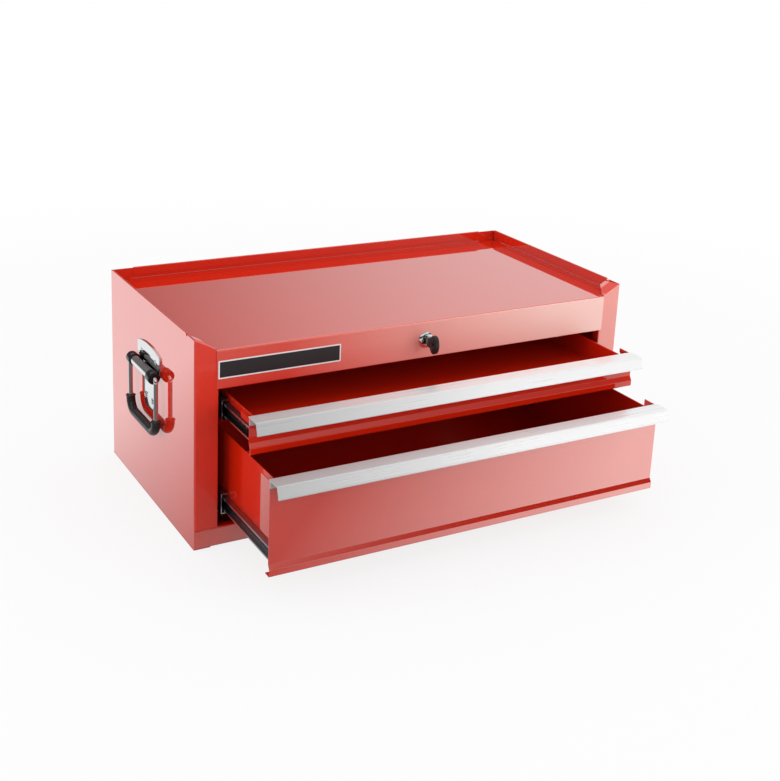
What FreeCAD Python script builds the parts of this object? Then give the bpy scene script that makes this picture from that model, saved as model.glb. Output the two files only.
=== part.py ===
import FreeCAD, Part
import math
import os

# Portable steel tool box with two drawers, in millimetres.
# X runs to the right, Y to the back and Z up. The origin is the middle of the underside.
# Both drawers stand partly open, and each slides along Y.

# Folded sheet of the cabinet
width = 640.0
depth = 320.0
sheet = 1.0
bend = 1.2                  # inside radius of a fold
fit_gap = 0.2               # room between two folded sheets that nest
overrun = 5.0               # how far a cut runs past what it cuts

# Heights, stacked from the floor up
base_lip_height = 26.5      # top of the lip under the lower drawer
base_lip_gap = 2.5
lower_front_height = 122.0
drawer_gap = 5.5
upper_front_height = 47.5
fascia_height = 50.5
rim_rise = 15.0             # rim above the tray

# Side panels
post_width = 31.5
post_return = 12.0
rear_flange = 30.0
base_flange = 22.0
hem_height = 11.0
hem_rise = 1.6
hem_start = 28.0            # from the front face to the side hem
hem_notch = 3.0
hem_notch_drop = 2.0
hem_end = 6.0
back_hem_end = 31.0
gusset_run = 27.0
gusset_reach = 27.0
gusset_lift = 1.4
gusset_tail = 14.0
gusset_gap = 5.0
gusset_nose = 5.0

# Top panel with its tray and the fascia folded down from it
fascia_edge = 28.0          # from the side of the cabinet to the end of the fascia
fascia_return = 10.0
tray_flange = 12.0

# Bottom panel
lip_return = 10.0
floor_flange = 20.0
swage_margin_x = 100.0
swage_margin_y = 50.0

# Uprights that carry the slides
upright_face = 32.0
upright_flange = 12.0
front_upright_setback = 60.0
rear_upright_setback = 45.0

# Slides
side_gap = 5.0              # between a post and a drawer front
slide_thickness = 10.0
slide_height = 27.0
slide_sheet = 1.2
slide_bend = 0.6
slide_front_gap = 3.0
slide_back_gap = 17.0
member_lip_gap = 1.8        # from a cabinet member's lip to the drawer wall
member_web_gap = 2.7        # from a drawer member's lip to the cabinet member's back
slide_travel = 200.0
ball_radius = 1.6
ball_play = 0.05
cage_sheet = 0.6
cage_web_gap = 0.3
cage_end_gap = 5.0
ball_pitch = 11.0
ball_hole_play = 0.15
lower_slide_rise = 26.0     # middle of the slide above the foot of its drawer front
upper_slide_rise = 23.5

# Drawers
lower_open = 140.0
upper_open = 80.0
drawer_sheet = 0.8
front_kick = 3.5            # how far the foot of a front stands forward
lower_kick_height = 9.3
upper_kick_height = 8.5
kick_slope = 5.8
front_foot_return = 12.0
front_side_return = 25.0
lower_return_gap = 9.0      # from the slide up to the front's side return
upper_return_gap = 1.5
return_chamfer = 2.0
pan_lift = 13.0             # pan floor above the foot of its front
pan_top_gap = 5.5           # pan wall below the top of the handle
pan_hem = 9.0
pan_back_gap = 28.0
pan_front_gap = 2.0         # pan's front wall below the handle's legs

# Drawer handles
pull_reach = 20.0
pull_wall = 1.6
pull_drop = 13.2
pull_lean = 4.0
pull_bead = 2.0
pull_bead_lap = 0.9
pull_leg = 9.0
pull_leg_wall = 1.4
pull_edge = 0.6

# Lock
lock_flange_radius = 11.0
lock_flange_rise = 3.6
lock_rim = 1.2
lock_body_radius = 9.5
lock_body_length = 19.0
lock_hole_play = 0.1
plug_radius = 6.0
plug_play = 0.05
plug_proud = 0.4
plug_tail = 1.5
nut_across_flats = 24.0
nut_thickness = 3.0
keyway_width = 2.3
keyway_height = 8.4
key_play = 0.15
blade_length = 20.0
key_neck = 8.0
key_neck_height = 12.0
bow_height = 27.0
bow_depth = 24.0
bow_thickness = 6.0
bow_corner = 9.0
bow_hole_radius = 3.2
bow_hole_inset = 7.0
cam_thickness = 2.0
cam_orbit = 9.0
cam_pin_radius = 2.0
cam_pin_length = 8.0
cam_edge = 3.0
cam_screw_radius = 3.6
cam_screw_head = 2.2
cam_screw_shank_radius = 1.5
cam_screw_shank = 7.0

# Bar that the lock moves behind the left post
bar_thickness = 1.5
bar_height = 18.0
bar_slot_play = 0.45
bar_rim = 4.5               # above the slot
bar_gap = 2.2               # behind the returns of closed fronts
bar_end = 14.0
leg_width = 11.0
leg_side_gap = 8.0          # inside the left panel
leg_foot = 30.0
hook_reach = 11.7
hook_height = 10.0
upper_hook_height = 5.0
upper_hook_gap = 2.0
guide_sheet = 1.5
guide_margin = 3.5
guide_play = 0.3
guide_flange = 10.0
guide_shares = (0.25, 0.75)
foot_guide_rise = 4.0
foot_guide_front = 7.0
foot_guide_back = 1.6
foot_guide_edge = 2.0

# Folding handle on each side
hinge_height = 188.0
hinge_offset = 9.6
plate_thickness = 1.2
plate_half_width = 42.5
plate_shoulder = 10.0
plate_crown = 31.0
plate_waist = 14.0
plate_foot = 58.0
plate_foot_half_width = 14.0
barrel_radius = 6.5
barrel_wall = 1.6
bush_radius = 8.2
bush_length = 14.0
rod_radius = 3.0
rod_play = 0.05
rod_stub = 9.0
bail_half_width = 50.0
bail_drop = 75.0
bail_shoulder = 5.0
bail_corner = 17.0
grip_radius = 6.0
grip_leg = 2.0              # straight end of the sleeve above its bend
handle_rivet_radius = 2.0
handle_rivet_head = 4.2
handle_rivet_rise = 1.7
handle_rivet_tail = 1.2
upper_rivet_half_width = 26.0
upper_rivet_rise = 14.5
lower_rivet_half_width = 13.0
lower_rivet_drop = 44.0

# Small fasteners
rivet_radius = 1.6
rivet_head_radius = 3.2
rivet_rise = 0.9
rivet_play = 0.05
dome_share = 0.75           # of a head's rise, half way out from its crown
slide_rivet_inset = 45.0
slide_rivet_count = 3

# Blank plate on the fascia
label_start = 30.0
label_length = 165.0
label_height = 23.0
label_thickness = 0.7
label_border = 1.5
label_recess = 0.2

# Places that follow from the sizes above
left = -width / 2
front = -depth / 2
back = depth / 2
lower_foot = base_lip_height + base_lip_gap
lower_top = lower_foot + lower_front_height
upper_foot = lower_top + drawer_gap
upper_top = upper_foot + upper_front_height
fascia_foot = upper_top + drawer_gap
tray_height = fascia_foot + fascia_height
rim_height = tray_height + rim_rise
hem_top = rim_height + hem_rise
hem_round = hem_top - sheet
wall_inside = left + sheet
post_edge = left + post_width
fascia_front = front - sheet
fascia_half = width / 2 - fascia_edge
front_edge = post_edge + side_gap
slide_side = front_edge
pan_side = slide_side + slide_thickness
slide_front = front + slide_front_gap
slide_back = back - slide_back_gap
slide_length = slide_back - slide_front
race_top = slide_height / 2 - slide_sheet
member_half = race_top - 2 * (ball_radius + ball_play)
race_middle = (race_top + member_half) / 2
ball_line = (slide_side + pan_side) / 2
lower_slide = lower_foot + lower_slide_rise
upper_slide = upper_foot + upper_slide_rise
cage_length = slide_length - slide_travel - 2 * cage_end_gap
back_inside = back - 2 * sheet
lock_height = fascia_foot + fascia_height / 2
hinge_side = left - hinge_offset
bar_front = front + front_side_return + bar_gap
bar_back = bar_front + bar_thickness
cam_throw = cam_orbit * math.sqrt(2)
cam_side = cam_throw / 2
lock_body_end = front + lock_body_length
plug_end = lock_body_end + plug_tail
foot_guide_height = leg_foot + foot_guide_rise

DIRECTIONS = {
    "X": FreeCAD.Vector(1, 0, 0),
    "Y": FreeCAD.Vector(0, 1, 0),
    "Z": FreeCAD.Vector(0, 0, 1),
}


def flat(point):
    """A point of a drawing, as a vector."""
    return FreeCAD.Vector(point[0], point[1], 0)


def placed(axis, at):
    """The function that lays a drawing's points square to an axis, at a place on it."""
    def place(point):
        if axis == "X":
            return FreeCAD.Vector(at, point.x, point.y)
        if axis == "Y":
            return FreeCAD.Vector(point.x, at, point.y)
        return FreeCAD.Vector(point.x, point.y, at)
    return place


def heading(start, end):
    """The unit vector from one point to another."""
    return (end - start).normalize()


def corner_points(before, corner, after, radius):
    """Start, middle and end of the arc that rounds a corner."""
    arriving = heading(before, corner)
    leaving = heading(corner, after)
    half_turn = arriving.getAngle(leaving) / 2
    trim = radius * math.tan(half_turn)
    inward = (leaving - arriving).normalize()
    depth_in = radius / math.cos(half_turn) - radius
    return corner - arriving * trim, corner + inward * depth_in, corner + leaving * trim


def rounded_path(points, radii, place):
    """Edges of an open path, with an arc at each inner point that has a radius."""
    edges = []
    start = points[0]
    for index in range(1, len(points) - 1):
        radius = radii[index - 1]
        end = points[index]
        if radius:
            end, middle, after = corner_points(*points[index - 1:index + 2], radius)
            edges.append(Part.LineSegment(place(start), place(end)).toShape())
            edges.append(Part.Arc(place(end), place(middle), place(after)).toShape())
            start = after
        else:
            edges.append(Part.LineSegment(place(start), place(end)).toShape())
            start = end
    edges.append(Part.LineSegment(place(start), place(points[-1])).toShape())
    return edges


def beside(points, distance):
    """An open path moved to its left, with mitred corners."""
    moved = []
    last = len(points) - 1
    for index, point in enumerate(points):
        sides = []
        if index > 0:
            sides.append(heading(points[index - 1], point))
        if index < last:
            sides.append(heading(point, points[index + 1]))
        lefts = [FreeCAD.Vector(-side.y, side.x, 0) for side in sides]
        if len(lefts) == 1:
            moved.append(point + lefts[0] * distance)
        else:
            share = distance / (1 + lefts[0].dot(lefts[1]))
            moved.append(point + (lefts[0] + lefts[1]) * share)
    return moved


def extruded(edges, axis, span):
    """A solid drawn by closed edges and pulled along an axis."""
    face = Part.Face(Part.Wire(edges))
    return face.extrude(DIRECTIONS[axis] * (span[1] - span[0]))


def folded(path, axis, span, thickness=sheet, radius=bend):
    """A folded strip. Its path is the outer face, and the sheet lies on the path's left."""
    outer = [flat(point) for point in path]
    inner = beside(outer, thickness)
    outer_radii = []
    inner_radii = []
    for index in range(1, len(outer) - 1):
        arriving = heading(outer[index - 1], outer[index])
        leaving = heading(outer[index], outer[index + 1])
        turns_left = arriving.cross(leaving).z > 0
        outer_radii.append(radius + thickness if turns_left else radius)
        inner_radii.append(radius if turns_left else radius + thickness)
    place = placed(axis, span[0])
    edges = rounded_path(outer, outer_radii, place)
    edges.append(Part.LineSegment(place(outer[-1]), place(inner[-1])).toShape())
    edges.extend(rounded_path(inner[::-1], inner_radii[::-1], place))
    edges.append(Part.LineSegment(place(inner[0]), place(outer[0])).toShape())
    return extruded(edges, axis, span)


def prism(points, axis, span, radii=None):
    """A plate with a straight-sided outline, whose corners may be rounded."""
    outline = [flat(point) for point in points]
    count = len(outline)
    radii = radii or [0] * count
    place = placed(axis, span[0])
    stops = []
    for index, corner in enumerate(outline):
        if radii[index]:
            after = outline[(index + 1) % count]
            stops.append(corner_points(outline[index - 1], corner, after, radii[index]))
        else:
            stops.append((corner,))
    edges = []
    for index, stop in enumerate(stops):
        if len(stop) > 1:
            edges.append(Part.Arc(*[place(point) for point in stop]).toShape())
        start = place(stop[-1])
        end = place(stops[(index + 1) % count][0])
        edges.append(Part.LineSegment(start, end).toShape())
    return extruded(edges, axis, span)


def block(x, y, z):
    """A square block between three pairs of limits."""
    corner = FreeCAD.Vector(x[0], y[0], z[0])
    return Part.makeBox(x[1] - x[0], y[1] - y[0], z[1] - z[0], corner)


def bar(axis, centre, radius, span):
    """A round bar along an axis. Its centre is given in the two other directions."""
    start = placed(axis, span[0])(flat(centre))
    return Part.makeCylinder(radius, span[1] - span[0], start, DIRECTIONS[axis])


def joined(*pieces):
    """Several pieces as one solid, with flush faces merged."""
    return pieces[0].multiFuse(list(pieces[1:])).removeSplitter()


def mirrored(piece):
    """The same piece on the other side of the cabinet."""
    return piece.mirror(FreeCAD.Vector(0, 0, 0), DIRECTIONS["X"])


def opened(piece, distance):
    """A drawer's piece, moved from the closed drawer to where the open drawer holds it."""
    return piece.translated(FreeCAD.Vector(0, -distance, 0))


def spread(start, end, count):
    """Evenly spaced places from a start to an end."""
    step = (end - start) / (count - 1)
    return [start + step * index for index in range(count)]


def domed_rivet(centre, seat, side, reach, sizes):
    """A rivet along X with a domed head on its seat. Its shank goes back by its reach."""
    shank_radius, head_radius, rise = sizes

    def place(radius, height):
        return FreeCAD.Vector(seat + side * height, centre[0] + radius, centre[1])

    crown = shank_radius / 2
    bulge = place((head_radius + crown) / 2, rise * dome_share)
    dome = Part.Arc(place(head_radius, 0), bulge, place(crown, rise)).toShape()
    corners = [
        place(crown, rise),
        place(0, rise),
        place(0, -reach),
        place(shank_radius, -reach),
        place(shank_radius, 0),
        place(head_radius, 0),
    ]
    lines = [
        Part.LineSegment(start, end).toShape() for start, end in zip(corners[:-1], corners[1:])
    ]
    face = Part.Face(Part.Wire([dome] + lines))
    rivet = face.revolve(place(0, 0), DIRECTIONS["X"], 360)
    return rivet if rivet.Volume > 0 else rivet.reversed()


def screw_places():
    """Middle of each upright's face along Y, front and rear."""
    front_face = front + front_upright_setback
    rear_face = back - rear_upright_setback
    return front_face, rear_face


def handle_rivet_places():
    """Places of the four rivets of a side handle, as Y and Z."""
    upper = hinge_height + upper_rivet_rise
    lower = hinge_height - lower_rivet_drop
    return [
        (-upper_rivet_half_width, upper),
        (upper_rivet_half_width, upper),
        (-lower_rivet_half_width, lower),
        (lower_rivet_half_width, lower),
    ]


def side_panel():
    """Left side: wall, front post with its return, rear flange, foot flange, hem and gusset."""
    path = [
        (left + rear_flange, back),
        (left, back),
        (left, front),
        (post_edge, front),
        (post_edge, front + post_return),
    ]
    panel = folded(path, "Z", (0, rim_height))
    lip_room = (-overrun, base_lip_height + fit_gap)
    past_post = post_edge + overrun
    past_return = front + post_return + overrun
    lip_face = block((left - overrun, past_post), (front - overrun, front + sheet + fit_gap), lip_room)
    lip_inside = block((wall_inside, past_post), (front, past_return), lip_room)
    slope = prism([
        (wall_inside, rim_height),
        (left + gusset_run, tray_height + gusset_lift),
        (past_post, tray_height + gusset_lift),
        (past_post, rim_height + overrun),
        (wall_inside, rim_height + overrun),
    ], "Y", (front - overrun, past_return))
    fascia_room = block(
        (-fascia_half - fit_gap, past_post),
        (front - overrun, past_return),
        (tray_height - 2 * sheet - bend, rim_height),
    )
    notch = block(
        (left - overrun, wall_inside + overrun),
        (front + hem_start - hem_notch, front + hem_start),
        (rim_height - hem_notch_drop, rim_height + overrun),
    )
    panel = panel.cut([lip_face, lip_inside, slope, fascia_room, notch])
    hem_y = (front + hem_start, back - hem_end)
    hem = block((left, wall_inside + sheet), hem_y, (hem_top - hem_height, hem_round))
    hem_fold = bar("Y", (wall_inside, hem_round), sheet, hem_y)
    foot = block(
        (left, left + base_flange), (front + sheet + fit_gap, back), (0, sheet))
    panel = joined(panel, hem, hem_fold, foot, gusset())
    holes = [
        bar("X", place, handle_rivet_radius + rivet_play, (left - overrun, left + overrun))
        for place in handle_rivet_places()
    ]
    return panel.cut(holes)


def gusset():
    """Sloping flange at the top of the post, folded back over the corner of the tray."""
    run = gusset_run - sheet
    fall = rim_height - tray_height - gusset_lift
    skin = sheet * math.hypot(run, fall) / run
    end = left + gusset_run
    foot = tray_height + gusset_lift
    slab = prism([
        (wall_inside, rim_height),
        (end, foot),
        (end, foot - skin),
        (wall_inside, rim_height - skin),
    ], "Y", (front, front + gusset_reach))
    plan = prism([
        (wall_inside, front),
        (left + gusset_gap, front + gusset_reach),
        (left + gusset_tail, front + gusset_reach),
        (end, front + gusset_nose),
        (end, front),
    ], "Z", (0, rim_height + overrun))
    return slab.common(plan)


def top_panel():
    """Tray with a flange down at the back and sides, and the fascia down at the front."""
    tray_back = back_inside - fit_gap
    tray_foot = tray_height - tray_flange
    main = folded([
        (tray_back, tray_foot),
        (tray_back, tray_height),
        (fascia_front, tray_height),
        (fascia_front, fascia_foot),
        (fascia_front + fascia_return, fascia_foot),
    ], "X", (-fascia_half, fascia_half))
    side = wall_inside + fit_gap
    wing_y = (front + sheet + bend, tray_back - sheet - bend)
    wing = folded([
        (-fascia_half, tray_height),
        (side, tray_height),
        (side, tray_foot),
    ], "Y", wing_y)
    back_corner = block(
        (side, -fascia_half), (wing_y[1], tray_back), (tray_height - sheet, tray_height))
    panel = joined(main, wing, back_corner, mirrored(wing), mirrored(back_corner))
    return_end = post_edge + fit_gap
    trim = block(
        (-fascia_half - overrun, return_end),
        (front, fascia_front + fascia_return + overrun),
        (fascia_foot - overrun, fascia_foot + bend + 2 * sheet),
    )
    hole = bar("Y", (0, lock_height), lock_body_radius + lock_hole_play,
               (fascia_front - overrun, front + overrun))
    return panel.cut([trim, mirrored(trim), hole])


def back_panel():
    """Flat back between the rear flanges, with its top edge hemmed inwards."""
    half = -wall_inside - bend
    outside = back - sheet
    wall = block((-half, half), (back_inside, outside), (sheet, rim_height))
    hem_x = (left + back_hem_end, -left - back_hem_end)
    hem = block(hem_x, (back_inside - sheet, outside), (hem_top - hem_height, hem_round))
    hem_fold = bar("X", (back_inside, hem_round), sheet, hem_x)
    return joined(wall, hem, hem_fold)


def bottom_panel():
    """Floor with a lip up at the front, flanges up all round and a field pressed down."""
    half = -wall_inside - fit_gap
    floor_top = 2 * sheet
    main = folded([
        (front + lip_return, base_lip_height),
        (front, base_lip_height),
        (front, sheet),
        (back_inside, sheet),
        (back_inside, sheet + floor_flange),
    ], "X", (-half, half))
    ends = [
        block(x, (front, front + sheet), (sheet, base_lip_height))
        for x in ((left, -half), (half, -left))
    ]
    flange_y = (front + lip_return + fit_gap, back_inside - bend - 2 * sheet)
    flange = folded([
        (-half, sheet + floor_flange),
        (-half, sheet),
        (-half + floor_flange, sheet),
    ], "Y", flange_y)
    field_x = width / 2 - swage_margin_x
    field_y = depth / 2 - swage_margin_y
    opening = block((-field_x, field_x), (-field_y, field_y), (0, floor_top))
    panel = joined(main, *ends, flange, mirrored(flange)).cut(opening)
    tub = opening.cut(block(
        (-field_x + sheet, field_x - sheet),
        (-field_y + sheet, field_y - sheet),
        (sheet, floor_top + overrun),
    ))
    return joined(panel, tub)


def upright(middle):
    """Hat-shaped post on the inside of the left panel, with screw holes for both slides."""
    face = slide_side - sheet
    half = upright_face / 2
    foot = 2 * sheet + floor_flange
    post = folded([
        (wall_inside, middle + half + upright_flange),
        (wall_inside, middle + half),
        (face, middle + half),
        (face, middle - half),
        (wall_inside, middle - half),
        (wall_inside, middle - half - upright_flange),
    ], "Z", (foot, tray_height - tray_flange - fit_gap))
    holes = [
        bar("X", (middle, height), rivet_radius + rivet_play, (face - overrun, face + overrun))
        for height in (lower_slide, upper_slide)
    ]
    return post.cut(holes)


def cabinet_member(height):
    """Outer rail of a left slide, a channel open towards the drawer."""
    half = slide_height / 2
    lip = pan_side - member_lip_gap
    rail = folded([
        (lip, height + half),
        (slide_side, height + half),
        (slide_side, height - half),
        (lip, height - half),
    ], "Y", (slide_front, slide_back), slide_sheet, slide_bend)
    return rail.cut([sunk_head(y, height, rivet_play) for y in screw_places()])


def sunk_head(y, height, play):
    """Countersunk head in the back of a left rail, or with some play the hole for it."""
    seat = FreeCAD.Vector(slide_side + slide_sheet, y, height)
    return Part.makeCone(rivet_head_radius + play, rivet_radius + play, slide_sheet,
                         seat, DIRECTIONS["X"] * -1)


def slide_rivet_places():
    """Places along a drawer member of the rivets that hold it to the pan."""
    return spread(slide_front + slide_rivet_inset, slide_back - slide_rivet_inset,
                  slide_rivet_count)


def drawer_member(height):
    """Inner rail of a left slide, riveted to the wall of a closed drawer."""
    lip = slide_side + member_web_gap
    rail = folded([
        (lip, height - member_half),
        (pan_side, height - member_half),
        (pan_side, height + member_half),
        (lip, height + member_half),
    ], "Y", (slide_front, slide_back), slide_sheet, slide_bend)
    holes = [
        bar("X", (y, height), rivet_radius + rivet_play, (slide_side, pan_side + overrun))
        for y in slide_rivet_places()
    ]
    return rail.cut(holes)


def cage_span(distance):
    """Start and end of a cage along Y, when its drawer is open by a distance."""
    start = slide_front + cage_end_gap + (slide_travel - distance) / 2
    return start, start + cage_length


def ball_places(height, distance):
    """Middles of the balls of a left slide whose drawer is open by a distance."""
    start, end = cage_span(distance)
    count = max(2, int((cage_length - 2 * ball_radius) / ball_pitch))
    first = (start + end - ball_pitch * (count - 1)) / 2
    return [
        FreeCAD.Vector(ball_line, first + ball_pitch * index, height + side * race_middle)
        for index in range(count)
        for side in (-1, 1)
    ]


def ball_cage(height, distance):
    """Sheet cage between the two rails, which carries the balls."""
    half = race_middle + cage_sheet / 2
    web = slide_side + slide_sheet + cage_web_gap
    end = pan_side - member_lip_gap
    cage = folded([
        (end, height + half),
        (web, height + half),
        (web, height - half),
        (end, height - half),
    ], "Y", cage_span(distance), cage_sheet, slide_bend)
    holes = [
        bar("Z", (place.x, place.y), ball_radius + ball_hole_play,
            (place.z - 2 * cage_sheet, place.z + 2 * cage_sheet))
        for place in ball_places(height, distance)
    ]
    return cage.cut(holes)


def balls(height, distance):
    """The balls of one left slide."""
    return Part.makeCompound([
        Part.makeSphere(ball_radius, place) for place in ball_places(height, distance)
    ])


def slide_screws():
    """Screws that hold the four cabinet rails to their uprights."""
    screws = []
    for y in screw_places():
        for height in (lower_slide, upper_slide):
            shank = bar("X", (y, height), rivet_radius, (slide_side - 2 * sheet, slide_side))
            screws.append(joined(sunk_head(y, height, 0), shank))
    return Part.makeCompound(screws + [mirrored(screw) for screw in screws])


def drawer_pan(foot, top, slide):
    """Folded tray of a closed drawer, with hemmed sides, welded to the drawer's front."""
    floor = foot + pan_lift
    wall_top = top - pan_top_gap
    pan_front = front + sheet
    pan_back = back_inside - pan_back_gap
    inside = pan_side + drawer_sheet
    main = folded([
        (pan_side, wall_top),
        (pan_side, floor),
        (-pan_side, floor),
        (-pan_side, wall_top),
    ], "Y", (pan_front, pan_back), drawer_sheet, bend)
    round_middle = wall_top - drawer_sheet
    hem_y = (pan_front + drawer_sheet, pan_back - drawer_sheet)
    hem = block((inside, inside + drawer_sheet), hem_y, (wall_top - pan_hem, round_middle))
    fold = bar("Y", (inside, round_middle), drawer_sheet, hem_y)
    fold = fold.common(block((inside, inside + drawer_sheet), hem_y,
                             (round_middle, wall_top)))
    across = (inside, -inside)
    rear = block(across, (pan_back - drawer_sheet, pan_back), (floor, wall_top))
    leg_foot_z = top - pull_leg - pull_wall - pan_front_gap
    fore = block(across, (pan_front, pan_front + drawer_sheet), (floor, leg_foot_z))
    pan = joined(main, hem, fold, mirrored(hem), mirrored(fold), rear, fore)
    hole = rivet_radius + rivet_play
    cuts = [
        bar("X", (y, slide), hole, (left, -left)) for y in slide_rivet_places()
    ]
    return pan.cut(cuts)


def drawer_front(foot, top, slide, kick_height, return_gap):
    """Folded front of a closed drawer, with its foot kicked forward and returns at its ends."""
    kick = front - front_kick
    panel_top = top - pull_wall - fit_gap
    face = folded([
        (front, panel_top),
        (front, foot + kick_height + kick_slope),
        (kick, foot + kick_height),
        (kick, foot),
        (kick + front_foot_return, foot),
    ], "X", (front_edge, -front_edge))
    return_foot = slide + slide_height / 2 + return_gap
    end = prism([
        (front, return_foot),
        (front + front_side_return - return_chamfer, return_foot),
        (front + front_side_return, return_foot + return_chamfer),
        (front + front_side_return, panel_top),
        (front, panel_top),
    ], "X", (front_edge, front_edge + sheet))
    return joined(face, end, mirrored(end))


def drawer_pull(top):
    """Pull profile along the top of a closed drawer's front, gripping the sheet's edge."""
    rear = front + sheet + pull_leg_wall
    nose = front - pull_reach
    toe = nose - pull_lean
    lean = pull_lean / pull_drop
    skin = pull_wall * math.hypot(1, lean)
    under = top - pull_wall
    leg_foot_z = under - pull_leg
    toe_top = top - pull_drop
    toe_foot = toe_top - pull_bead
    inner_top = nose + skin - lean * pull_wall
    points = [
        (rear, top),
        (nose, top),
        (toe, toe_top),
        (toe - pull_bead_lap, toe_top),
        (toe - pull_bead_lap, toe_foot),
        (toe + skin, toe_foot),
        (toe + skin, toe_top),
        (inner_top, under),
        (front - pull_leg_wall, under),
        (front - pull_leg_wall, leg_foot_z),
        (front, leg_foot_z),
        (front, under),
        (front + sheet, under),
        (front + sheet, leg_foot_z),
        (rear, leg_foot_z),
    ]
    radii = [pull_edge, pull_wall] + [0] * (len(points) - 2)
    profile = prism(points, "X", (front_edge, -front_edge), radii)
    end_notch = block(
        (front_edge - overrun, pan_side + 2 * drawer_sheet + fit_gap),
        (front + sheet, rear + overrun),
        (leg_foot_z - overrun, under),
    )
    return profile.cut([end_notch, mirrored(end_notch)])


def slide_rivets(slide):
    """Rivets between both drawer rails and the pan of a closed drawer."""
    sizes = (rivet_radius, rivet_head_radius, rivet_rise)
    seat = pan_side + drawer_sheet
    reach = drawer_sheet + 2 * slide_sheet
    rivets = [
        domed_rivet((y, slide), seat, 1, reach, sizes) for y in slide_rivet_places()
    ]
    return Part.makeCompound(rivets + [mirrored(rivet) for rivet in rivets])


def handle_plate():
    """Shield-shaped plate on the left side, with the barrel rolled from it."""
    shoulder = hinge_height + plate_shoulder
    crown = hinge_height + plate_crown
    waist = hinge_height - plate_waist
    foot = hinge_height - plate_foot
    place = placed("X", left - plate_thickness)
    corners = [
        (-plate_half_width, shoulder),
        (-plate_half_width, waist),
        (-plate_foot_half_width, foot),
        (plate_foot_half_width, foot),
        (plate_half_width, waist),
        (plate_half_width, shoulder),
    ]
    outline = [place(flat(corner)) for corner in corners]
    edges = [
        Part.LineSegment(start, end).toShape()
        for start, end in zip(outline[:-1], outline[1:])
    ]
    edges.append(Part.Arc(outline[-1], place(flat((0, crown))), outline[0]).toShape())
    plate = extruded(edges, "X", (0, plate_thickness))
    centre = (hinge_side, hinge_height)
    half = bail_half_width - bail_shoulder - bush_length
    along = (-half, half)
    strap = block(
        (hinge_side, left - plate_thickness), along,
        (hinge_height + barrel_radius - barrel_wall, hinge_height + barrel_radius),
    )
    barrel = bar("Y", centre, barrel_radius, along)
    bore = bar("Y", centre, barrel_radius - barrel_wall, (-half - overrun, half + overrun))
    plate = joined(plate, strap, barrel).cut(bore)
    holes = [
        bar("X", spot, handle_rivet_radius + rivet_play, (left - overrun, left + overrun))
        for spot in handle_rivet_places()
    ]
    return plate.cut(holes)


def handle_bushes():
    """Bushes at both ends of the left barrel, in which the bail turns."""
    centre = (hinge_side, hinge_height)
    outer = bail_half_width - bail_shoulder
    inner = outer - bush_length
    span = (inner, outer)
    hole = bar("Y", centre, rod_radius + rod_play, (inner - overrun, outer + overrun))
    bush = bar("Y", centre, bush_radius, span).cut(hole)
    far = bush.mirror(FreeCAD.Vector(0, 0, 0), DIRECTIONS["Y"])
    return Part.makeCompound([bush, far])


def bail_route(start_height):
    """The path of the left bail from one leg to the other, from a height on each leg."""
    low = hinge_height - bail_drop
    points = [
        (-bail_half_width, start_height),
        (-bail_half_width, low),
        (bail_half_width, low),
        (bail_half_width, start_height),
    ]
    return points, [bail_corner, bail_corner]


def tube_along(points, radii, radius, start_axis):
    """A round rod along a rounded path that lies square to X, at the hinge."""
    place = placed("X", hinge_side)
    flat_points = [flat(point) for point in points]
    path = Part.Wire(rounded_path(flat_points, radii, place))
    start = place(flat_points[0])
    ring = Part.Wire(Part.Circle(start, DIRECTIONS[start_axis], radius).toShape())
    return path.makePipeShell([ring], True, True)


def bail():
    """Left bail rod, with a stub at each end that turns in a bush."""
    points, radii = bail_route(hinge_height)
    stub = bail_half_width - bail_shoulder - rod_stub
    points = [(-stub, hinge_height)] + points + [(stub, hinge_height)]
    radii = [bail_shoulder] + radii + [bail_shoulder]
    return tube_along(points, radii, rod_radius, "Y")


def grip():
    """Sleeve on the foot of the left bail."""
    points, radii = bail_route(hinge_height - bail_drop + bail_corner + grip_leg)
    outer = tube_along(points, radii, grip_radius, "Z")
    inner = tube_along(points, radii, rod_radius + rod_play, "Z")
    return outer.cut(inner)


def handle_rivets():
    """The four rivets of the left side handle."""
    sizes = (handle_rivet_radius, handle_rivet_head, handle_rivet_rise)
    seat = left - plate_thickness
    reach = plate_thickness + sheet + handle_rivet_tail
    return Part.makeCompound([
        domed_rivet(place, seat, -1, reach, sizes) for place in handle_rivet_places()
    ])


def lock_housing():
    """Domed flange on the fascia and a barrel through it, bored for the plug."""
    seat = fascia_front
    crest = seat - lock_flange_rise
    land = plug_radius + lock_rim
    place = placed("Z", 0)
    shoulder = (lock_flange_radius + land) / 2
    dome = Part.Arc(
        place(flat((lock_flange_radius, seat - lock_rim))),
        place(flat((shoulder, crest + (seat - lock_rim - crest) / 4))),
        place(flat((land, crest))),
    ).toShape()
    corners = [
        (land, crest),
        (0, crest),
        (0, lock_body_end),
        (lock_body_radius, lock_body_end),
        (lock_body_radius, seat),
        (lock_flange_radius, seat),
        (lock_flange_radius, seat - lock_rim),
    ]
    lines = [
        Part.LineSegment(place(flat(start)), place(flat(end))).toShape()
        for start, end in zip(corners[:-1], corners[1:])
    ]
    face = Part.Face(Part.Wire([dome] + lines))
    turned = face.revolve(FreeCAD.Vector(0, 0, 0), DIRECTIONS["Y"], 360)
    body = turned.translated(FreeCAD.Vector(0, 0, lock_height))
    bore = bar("Y", (0, lock_height), plug_radius + plug_play,
               (crest - overrun, lock_body_end + overrun))
    return body.cut(bore)


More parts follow.
